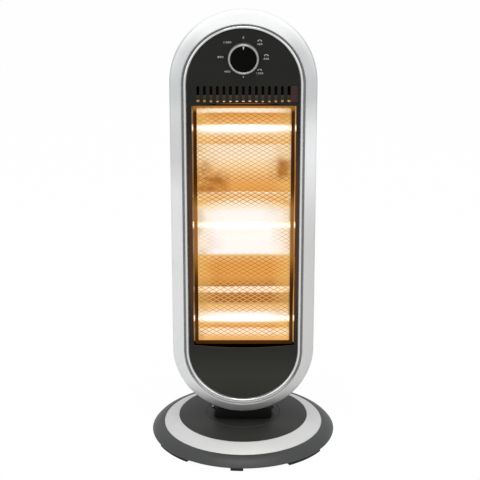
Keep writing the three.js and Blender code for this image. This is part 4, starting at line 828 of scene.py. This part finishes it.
def expanded_metal():
    """Slit and stretched sheet: each strand leans, with its lower edge further forward."""
    width, height = MESH_HIGH[0] - MESH_LOW[0], MESH_HIGH[2] - MESH_LOW[2]
    columns, rows = round(width / DIAMOND_WIDTH), round(height / DIAMOND_HEIGHT)
    pitch_x, pitch_z = width / columns, height / rows
    slope = pitch_x / pitch_z
    hole_z = pitch_z / 2 - STRAND / 2 * hypot(1, 1 / slope)
    hole_x = hole_z * slope
    y = (MESH_LOW[1] + MESH_HIGH[1]) / 2
    verts, faces = [], []
    for row in range(2 * rows + 1):
        for column in range(columns + 1):
            x = MESH_LOW[0] + (column + (0.5 if row % 2 else 0)) * pitch_x
            z = MESH_LOW[2] + row * pitch_z / 2
            outer, inner = ([(x + u, z), (x, z + v), (x - u, z), (x, z - v)]
                            for u, v in ((pitch_x / 2, pitch_z / 2), (hole_x, hole_z)))
            lean = [0, -STRAND_TILT, 0, STRAND_TILT]
            first = len(verts)
            for side in (-1, 1):
                offset = y + side * STRAND_THICK / 2
                verts += [(u, offset, v) for u, v in outer]
                verts += [(u, offset + shift, v) for (u, v), shift in zip(inner, lean)]
            for k in range(4):
                n = (k + 1) % 4
                a, b, c, d = first + k, first + n, first + 4 + n, first + 4 + k
                faces += [(a, b, c, d), (a + 8, d + 8, c + 8, b + 8), (d, c, c + 8, d + 8)]
    mesh = mesh_of(verts, faces)
    work = bmesh.new()
    work.from_mesh(mesh)
    planes = [((MESH_LOW[0], 0, 0), (-1, 0, 0)), ((MESH_HIGH[0], 0, 0), (1, 0, 0)),
              ((0, 0, MESH_LOW[2]), (0, 0, -1)), ((0, 0, MESH_HIGH[2]), (0, 0, 1))]
    for place, normal in planes:
        everything = work.verts[:] + work.edges[:] + work.faces[:]
        bmesh.ops.bisect_plane(work, geom=everything, plane_co=Vector(place) * MM, plane_no=normal,
                               clear_outer=True)
    work.to_mesh(mesh)
    work.free()
    return dressed("guard_mesh", mesh, "head", "hot_steel", look=GUARD_MESH, sharp=25, node="grille_mesh")


guard_frame()
expanded_metal()

# ---- Head: lamps and reflector ----
REFLECTOR_LOW, REFLECTOR_HIGH = mm_box("reflector")
SHEET = 1.2


def reflector():
    """Sheet bent into a trough behind each lamp, with cheeks at its sides."""
    front = [(REFLECTOR_LOW[1], REFLECTOR_LOW[2])]
    steps = 40
    for lamp in sorted(LAMP_HEIGHTS):
        for step in range(steps + 1):
            t = 2 * step / steps - 1
            front.append((REFLECTOR_LOW[1] + TROUGH_DEPTH * (1 - t * t), lamp + t * TROUGH_HALF))
    front.append((REFLECTOR_LOW[1], REFLECTOR_HIGH[2]))
    half = REFLECTOR_HIGH[0]
    section = front + [(y + SHEET, z) for y, z in reversed(front)]
    rings = [[(x, y, z) for y, z in section] for x in (-half + SHEET, half - SHEET)]
    count = len(front)
    verts, faces = grid(rings, closed=False)
    for ring in (0, len(section)):
        for k in range(count - 1):
            faces.append((ring + k, ring + k + 1, ring + 2 * count - 2 - k, ring + 2 * count - 1 - k))
    for side in (-1, 1):
        corners, sides = box_form((side * half, *REFLECTOR_LOW[1:]),
                                  (side * (half - SHEET), *REFLECTOR_HIGH[1:]))
        faces += [[len(verts) + k for k in face] for face in sides]
        verts += corners
    sheet = piece("reflector_sheet", (verts, faces), "head", "reflector", sharp=30, node="reflector")
    sheet.data.materials.append(CHEEK)
    for face in sheet.data.polygons:
        face.material_index = int(abs(face.center.x) > (half - SHEET - 0.01) * MM)
    return sheet


def coil(centre, length, radius, wire, turns):
    """A wound wire along X."""
    steps, around = turns * 10, 5
    rings = []
    for step in range(steps + 1):
        angle = 2 * pi * turns * step / steps
        x = -length / 2 + length * step / steps
        ring = []
        for k in range(around):
            turn = 2 * pi * k / around
            r = radius + wire * cos(turn)
            ring.append((centre[0] + x + wire * sin(turn), centre[1] + r * cos(angle),
                         centre[2] + r * sin(angle)))
        rings.append(ring)
    return grid(rings, closed=False, capped=True)


def lamps():
    for i, z in enumerate(LAMP_HEIGHTS, 1):
        tube_high = mm_box(f"quartz_tube_{i}")[1]
        half, radius = tube_high[0], tube_high[2] - z
        centre = (0, LAMP_Y, z)
        section = rounded([(radius - 1, -half), (radius, -half), (radius, half), (radius - 1, half)], 0.5)
        form = revolve(section, 40, "x", centre)
        piece(f"lamp_tube_{i}", form, "head", "quartz", node=f"quartz_tube_{i}")
        form = coil(centre, 2 * half, 1.0, 0.2, 90)
        piece(f"lamp_coil_{i}", form, "head", "filament", node=f"filament_{i}")
        for side in (-1, 1):
            node = f"lamp_cap_{2 * i - 1 if side < 0 else 2 * i}"
            low, high = mm_box(node)
            near, far = min(abs(low[0]), abs(high[0])), max(abs(low[0]), abs(high[0]))
            cap_r = high[2] - z
            profile = [(radius + FIT, near), (cap_r, near), (cap_r, near + 3), (cap_r - 0.6, near + 3.6),
                       (cap_r - 0.6, near + 5), (cap_r, near + 5.6), (cap_r, far - 1), (cap_r - 1, far),
                       (1.2, far), (1.2, far - 4), (radius + FIT, far - 4)]
            outline = [(r, side * h) for r, h in rounded(profile, 0.5, 2)]
            form = revolve(outline, 32, "x", centre)
            piece(f"ceramic_end_{node[-1]}", form, "head", "ceramic", node=node)


reflector()
lamps()

# ---- Head: rear shell ----
SHELL_LOW, SHELL_HIGH = mm_box("rear_shell")
SHELL_WALL = 2.2
SHELL_INSET = BEZEL_WALL + FIT
SHELL_BACK_INSET = 48
# The rounded back, as (share of the depth, share of the way inwards)
SHELL_CURVE = [(0, 0), (0.15, 0.03), (0.3, 0.09), (0.45, 0.16), (0.6, 0.25), (0.7, 0.335), (0.8, 0.44),
               (0.87, 0.54), (0.93, 0.68), (0.97, 0.81)]
LOUVRE_PITCH = 11
LOUVRE_SIZE = (42, 4.6)
LOUVRE_X = 25
GRIP = (92, 30, 24, 9)  # width, height, depth and corner radius of the finger recess
WELL = 4  # radius of a screw well
GRIP_Z = HEAD_TOP - 84


def shell_section(wall):
    reach, depth = SHELL_BACK_INSET - SHELL_INSET, SHELL_HIGH[1] - SKIRT_Y
    side = SHELL_INSET + wall
    curve = [(side + reach * inward, SKIRT_Y + depth * back - wall / 2) for back, inward in SHELL_CURVE]
    curve[0] = (side, SKIRT_Y)
    return [(side, SHELL_LOW[1]), *curve, (side + reach, SHELL_HIGH[1] - wall)]


def rear_shell():
    """Moulded back with louvres, a recess for the fingers and wells for four screws."""
    outside = mesh_of(*grid(head_rings(shell_section(0)), closed=False, capped=True))
    section = shell_section(SHELL_WALL)
    section[0] = (section[0][0], section[0][1] - SHELL_WALL)
    inside = mesh_of(*grid(head_rings(section), closed=False, capped=True))
    back = SHELL_HIGH[1]
    width, height, depth, radius = GRIP
    pocket_wall = plate([rounded_rect(width + 4, height + 4, radius + 2, 0, GRIP_Z)],
                        back - depth - SHELL_WALL, back - 0.6, 0.4)
    pocket = plate([rounded_rect(width, height, radius, 0, GRIP_Z)], back - depth, back + 6, 2.5)
    cutters = [pocket]
    for middle_z in (HEAD_TOP - 165, HEAD_FOOT + 146):
        for row in range(-2, 3):
            for side in (-1, 1):
                loop = rounded_rect(*LOUVRE_SIZE, 2.2, side * LOUVRE_X, middle_z + row * LOUVRE_PITCH)
                cutters.append(plate([loop], back - 3 * SHELL_WALL, back + 1, 0.01, steps=0))
    posts = []
    for i in (1, 2, 3, 4):
        x, _, z = middle(f"head_screw_{i}")
        seat = mm_box(f"head_screw_{i}")[1][1] - 1.8 - FIT
        cutters.append(drum(WELL, seat, back + 1, "y", (x, 0, z)))
        post = drum(WELL + SHELL_WALL, seat - 2 * SHELL_WALL, back - 0.5, "y", (x, 0, z))
        posts.append(combined(post, outside, operation="INTERSECT"))
    hollow = combined(outside, inside)
    whole = combined(hollow, pocket_wall, *posts, operation="UNION")
    shell = combined(whole, *cutters)
    return dressed("back_shell", shell, "head", "black_plastic", sharp=30, node="rear_shell")


rear_shell()


# ---- Head: knob and marks ----
KNOB_LOW, KNOB_HIGH = mm_box("knob")
RING_LOW, RING_HIGH = mm_box("knob_ring")
POINTER_LOW, POINTER_HIGH = mm_box("knob_pointer")


def knob():
    centre = (0, 0, KNOB_MIDDLE[2])
    radius = KNOB_HIGH[0]
    face, back = KNOB_LOW[1], KNOB_HIGH[1]
    section = [(0.01, back), (radius, back), (radius, face + 0.8), (radius - 0.8, face),
               (radius * 0.6, face + 0.12), (0.01, face + 0.2)]
    form = revolve(rounded(section, 0.5), 96, "y", centre)
    piece("knob_body", form, "knob", "knob_black", node="knob")
    outer, inner = RING_HIGH[0], radius + FIT
    front, foot = RING_LOW[1], RING_HIGH[1]
    section = [(inner, foot), (outer, foot), (outer, front + 1.4), (outer - 1.1, front),
               (inner + 0.8, front), (inner, front + 0.9)]
    form = revolve(rounded(section, 0.6, 4), 96, "y", centre)
    piece("knob_trim", form, "knob", "bright_trim", look=KNOB_TRIM, node="knob_ring")
    half, top = (POINTER_HIGH[0] - POINTER_LOW[0]) / 2, POINTER_HIGH[2] + 1.2
    loop = [(half * 0.85, top), (-half * 0.85, top), (-half * 0.3, top - 4.6), (half * 0.3, top - 4.6)]
    mesh = plate([loop], POINTER_LOW[1], POINTER_HIGH[1], 0.12)
    dressed("pointer", mesh, "knob", "white_print", node="knob_pointer")


MARK_THICK = 0.12


def word(name, text, height, x, z, stretch=1.0):
    """Printed number on the panel, centred on a place."""
    curve = bpy.data.curves.new(name, "FONT")
    curve.body = text
    curve.size = height / 0.7 * MM
    curve.space_character = 1.15
    curve.align_x, curve.align_y = "CENTER", "CENTER"
    curve.extrude = MARK_THICK / 2 * MM
    mesh = evaluated(placed(name, curve))
    mesh.transform(Matrix.Diagonal((stretch, 1, 1, 1)))
    mesh.transform(Matrix.Rotation(pi / 2, 4, "X"))
    mesh.transform(Matrix.Translation((x * MM, (PANEL_FRONT - MARK_THICK / 2) * MM, z * MM)))
    return dressed(name, mesh, "head", "white_print")


def printed(name, loop):
    mesh = plate([loop], PANEL_FRONT - MARK_THICK, PANEL_FRONT, 0.01, steps=0)
    dressed(name, mesh, "head", "white_print")


def swing_arrow(name, x, z):
    """Flat arc with a head at both ends, for the settings that swivel."""
    outer, inner = arc((x, z - 2.6), 3.4, 40, 140, 10), arc((x, z - 2.6), 2.7, 40, 140, 10)
    printed(name, outer + list(reversed(inner)))
    for side in (-1, 1):
        tip = (x + side * 3.1, z - 1.7)
        loop = [tip, (tip[0] - side * 1.9, tip[1] + 0.3), (tip[0] - side * 0.2, tip[1] + 1.9)]
        printed(f"{name}_{'left' if side < 0 else 'right'}", loop if side > 0 else loop[::-1])


MARK_RADIUS = 32.2
MARK_RISE = 1.2  # the marks' middle lies over the knob's axis
NUMBER_HEIGHT = 2.7
SETTINGS = [("1200", "400", 45), ("800", "800", 90), ("400", "1200", 135)]


def dial_marks():
    z = KNOB_MIDDLE[2] + MARK_RISE
    word("mark_off", "0", 3.2, 0, z + 28)
    for left, right, turn in SETTINGS:
        across, rise = MARK_RADIUS * sin(radians(turn)), MARK_RADIUS * cos(radians(turn)) * 0.92
        word(f"mark_left_{left}", left, NUMBER_HEIGHT, -across, z + rise, 1.35)
        word(f"mark_right_{right}", right, NUMBER_HEIGHT, across, z + rise - 2.6, 1.2)
        swing_arrow(f"mark_swing_{right}", across, z + rise + 3.2)
    printed("mark_low", arc((0, z - 28.5), 0.9, 0, 342, 19))


knob()
dial_marks()

# ---- Base ----
TRIM_OUTER = mm_box("base_trim_ring")[1][0]
TRIM_INNER = TRIM_OUTER - 22.7
TABLE_HIGH = mm_box("turntable")[1]
WELL_R = TABLE_HIGH[0] + FIT / 2
DOME_TOP = mm_box("base_shell")[1][2]
TRIM_OUTER_Z, TRIM_INNER_Z = 19.1, 28.7


def swell(start, end, height, steps):
    """Points between two places on a line that bows outwards."""
    dr, dz = end[0] - start[0], end[1] - start[1]
    length = hypot(dr, dz)
    points = []
    for step in range(steps + 1):
        t = step / steps
        lift = 4 * height * t * (1 - t)
        points.append((start[0] + dr * t + dz / length * lift, start[1] + dz * t - dr / length * lift))
    return points


def base():
    edge, rim_top = (BASE_RADIUS, BASE_FOOT + 2.2), (TRIM_OUTER + FIT, TRIM_OUTER_Z)
    dome_start, dome_end = (TRIM_INNER - FIT, TRIM_INNER_Z), (WELL_R, DOME_TOP)
    rim = swell(edge, rim_top, 2.2, 14)
    dome = swell(dome_start, dome_end, 0.8, 10)
    wall = 2.3
    seat = 2.1  # depth of the ring's bed
    floor_r, floor_low, floor_high = 47.9, 24.1, 26.9  # of the well that the turntable lies in
    skirt_r = BASE_RADIUS - 5.6
    section = [
        (skirt_r, BASE_FOOT), (BASE_RADIUS - 1.6, BASE_FOOT), (BASE_RADIUS - 0.5, BASE_FOOT + 0.6),
        *rim, (rim_top[0], rim_top[1] - seat), (dome_start[0], dome_start[1] - seat), *dome,
        (WELL_R, floor_high), (floor_r, floor_high), (floor_r, floor_low), (WELL_R + wall, floor_low),
        (WELL_R + wall, DOME_TOP - wall), (dome_start[0] - wall, dome_start[1] - wall),
        (dome_start[0] - wall, dome_start[1] - seat - wall / 2),
        (rim_top[0] - wall / 2, rim_top[1] - seat - wall),
        *[(r - 1.4, z - wall) for r, z in reversed(rim[1:-1])],
        (skirt_r, 8),
    ]
    shell = mesh_of(*revolve(section, 160))
    gland_front, gland_z, gland_r = mm_box("cord_gland")[0][1], middle("cord_gland")[2], 6.3
    hole = drum(gland_r, gland_front - 0.3, BASE_RADIUS + 2, "y", (0, 0, gland_z), 40)
    shell = combined(shell, hole)
    body = dressed("base_body", shell, "base", "dark_plastic", sharp=28, node="base_shell")
    body.data.materials.append(SHADED_DOME_PLASTIC)
    # the dome inside the ring takes the darker plastic of the painted shade under the head
    for face in body.data.polygons:
        x, y, z = face.center / MM
        face.material_index = int(hypot(x, y) < TRIM_INNER and z > TRIM_INNER_Z - 3)

    top = swell((TRIM_OUTER, TRIM_OUTER_Z - 0.4), (TRIM_INNER, TRIM_INNER_Z + 0.2), 0.5, 12)
    section = [(TRIM_INNER, TRIM_INNER_Z - 1.8), (TRIM_OUTER, TRIM_OUTER_Z - 1.8), *top]
    form = revolve(rounded(section, 0.3, 2), 160)
    piece("base_ring", form, "base", "silver_paint", look=RING_PAINT, node="base_trim_ring")


def turntable():
    low, high = mm_box("turntable")
    radius, top = high[0], high[2]
    section = [(9, top), (radius - 0.9, top), (radius, top - 0.8), (radius, top - 3.2), (22, top - 3.2),
               (22, low[2] + 3.9), (17.5, low[2] + 3.9), (17.5, low[2]), (9, low[2])]
    form = revolve(rounded(section, 0.4), 128)
    piece("swivel_table", form, "turntable", "black_plastic", look=TABLE_PLASTIC, node="turntable")


def neck():
    """Block with a pocket for the foot of the head and a boss for the tilt bolt on both sides."""
    low, high = mm_box("neck")
    width, depth = 87, high[1] - low[1]
    pocket_x, pocket_y, boss_r, bore_r = 30.5, 22, 6.2, 3.3
    block = plate([rounded_rect(width, depth, 9, steps=10)], low[2], high[2], 1.0, axis="z", steps=3)
    tilt_z = middle("tilt_bolt")[2]
    section = [(0.01, low[0]), (boss_r, low[0]), (boss_r, high[0]), (0.01, high[0])]
    boss = mesh_of(*revolve(rounded(section, 0.4), 48, "x", (0, 0, tilt_z)))
    pocket = mesh_of(*box_form((-pocket_x, -pocket_y, low[2] + 1.6), (pocket_x, pocket_y, high[2] + 2)))
    bore = drum(bore_r, low[0] - 1, high[0] + 1, "x", (0, 0, tilt_z))
    whole = combined(block, boss, operation="UNION")
    # the neck takes the darker plastic of the painted shade under the head
    dressed("neck_body", combined(whole, pocket, bore), "turntable", "black_plastic", look=SHADED_NECK_PLASTIC,
            sharp=28, node="neck")


FOOT_SPAN, FRONT_FOOT_SPAN = 28, 8  # degrees of the rim that a pad covers
FOOT_INSETS = (2.6, 19.6)


def foot(node):
    """Rubber pad whose lower edges are rounded, shaped by the box of its node."""
    low, high = mm_box(node)
    half = (FRONT_FOOT_SPAN if node == "front_foot" else FOOT_SPAN) / 2
    turn = FOOT_TURNS[node]
    loop = arc((0, 0), BASE_RADIUS - FOOT_INSETS[0], turn - half, turn + half, 16)
    loop += arc((0, 0), BASE_RADIUS - FOOT_INSETS[1], turn + half, turn - half, 16)
    mesh = plate([loop], low[2], high[2], 0.8, axis="z")
    dressed(f"{node}_pad", mesh, "base", "rubber", node=node)


FOOT_TURNS = {f"foot_pad_{i + 1}": -90 + angle - 4 for i, angle in enumerate((-132, -48, 48, 132))}
FOOT_TURNS["front_foot"] = -94

base()
turntable()
neck()
for name in FOOT_TURNS:
    foot(name)


# ---- Finishes of the solids that stay ----
SHADED_STEEL = material("shaded_steel", (30, 28, 27), 0.6, metallic=0.8, mottle=10, spread=0.2,
                        grain=0.5, relief=0.02)
NODE_LOOKS = {"heat_shield": SHADED_STEEL, "lamp_bracket_left": LIT_STEEL,
              "lamp_bracket_right": LIT_STEEL}


def dress_solids():
    """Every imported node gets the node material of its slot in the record, or its own."""
    for part in frame["record"]["subparts"]:
        node = part["node"]
        for holder in frame["nodes"][node].material_slots:
            holder.material = NODE_LOOKS.get(node, LOOKS[part["material_slot"]])


dress_solids()


# ---- Stage ----
FLOOR_GREY = (0.86, 0.86, 0.86, 1)
FLOOR_WHITE = 0.97  # share of the floor that the camera sees as the white of the background
AMBIENT = 0.68
AIM = Vector((0, 0, 0.36))


def seen_rays(nodes, links):
    """1 for the rays that show the background: straight, mirrored or through glass."""
    rays = nodes.new("ShaderNodeLightPath")
    total = rays.outputs["Is Camera Ray"]
    for kind in ("Is Glossy Ray", "Is Transmission Ray"):
        either = nodes.new("ShaderNodeMath")
        either.operation = "MAXIMUM"
        links.new(total, either.inputs[0])
        links.new(rays.outputs[kind], either.inputs[1])
        total = either.outputs["Value"]
    return total


def stage():
    """Pale floor that the camera sees as white, with the heater's shadow on it."""
    mesh = bpy.data.meshes.new("floor")
    reach = 30.0
    mesh.from_pydata([(-reach, -reach, 0), (reach, -reach, 0), (reach, reach, 0), (-reach, reach, 0)], [],
                     [(0, 1, 2, 3)])
    floor = placed("floor", mesh)
    look = bpy.data.materials.new("floor")
    look.use_nodes = True
    nodes, links = look.node_tree.nodes, look.node_tree.links
    surface = nodes["Principled BSDF"]
    surface.inputs["Base Color"].default_value = FLOOR_GREY
    surface.inputs["Roughness"].default_value = 0.9
    white = nodes.new("ShaderNodeEmission")
    share = nodes.new("ShaderNodeMath")
    share.operation = "MULTIPLY"
    share.inputs[1].default_value = FLOOR_WHITE
    mix = nodes.new("ShaderNodeMixShader")
    links.new(seen_rays(nodes, links), share.inputs[0])
    links.new(share.outputs["Value"], mix.inputs["Fac"])
    links.new(surface.outputs["BSDF"], mix.inputs[1])
    links.new(white.outputs["Emission"], mix.inputs[2])
    links.new(mix.outputs["Shader"], nodes["Material Output"].inputs["Surface"])
    mesh.materials.append(look)


def world():
    scene_world = bpy.data.worlds.new("studio")
    bpy.context.scene.world = scene_world
    scene_world.use_nodes = True
    nodes, links = scene_world.node_tree.nodes, scene_world.node_tree.links
    background = nodes["Background"]
    background.inputs["Color"].default_value = (1, 1, 1, 1)
    strength = nodes.new("ShaderNodeMapRange")
    strength.inputs["To Min"].default_value = AMBIENT
    strength.inputs["To Max"].default_value = 1.0
    links.new(seen_rays(nodes, links), strength.inputs["Value"])
    links.new(strength.outputs["Result"], background.inputs["Strength"])


def softbox(name, place, width, height, energy):
    light = bpy.data.lights.new(name, "AREA")
    light.shape = "RECTANGLE"
    light.size, light.size_y = width, height
    light.energy = energy
    holder = placed(name, light)
    holder.location = place
    holder.rotation_euler = (AIM - Vector(place)).to_track_quat("-Z", "Y").to_euler()


CAMERA_RISE = 19.7  # degrees above level


def camera():
    data = bpy.data.cameras.new("camera")
    data.lens, data.sensor_width, data.clip_end = 123.75, 36, 100
    holder = placed("camera", data)
    holder.location = (-0.0048, -2.3088, 1.1394)
    holder.rotation_euler = (radians(90 - CAMERA_RISE), 0, 0)
    bpy.context.scene.camera = holder


stage()
world()
softbox("key", (-1.8, -1.8, 1.0), 1.4, 1.6, 9)
softbox("fill", (1.9, -1.7, 1.2), 1.4, 1.6, 9)
softbox("top", (0, -0.9, 2.6), 1.6, 1.4, 34)
camera()
bpy.context.scene.view_settings.view_transform = "Standard"
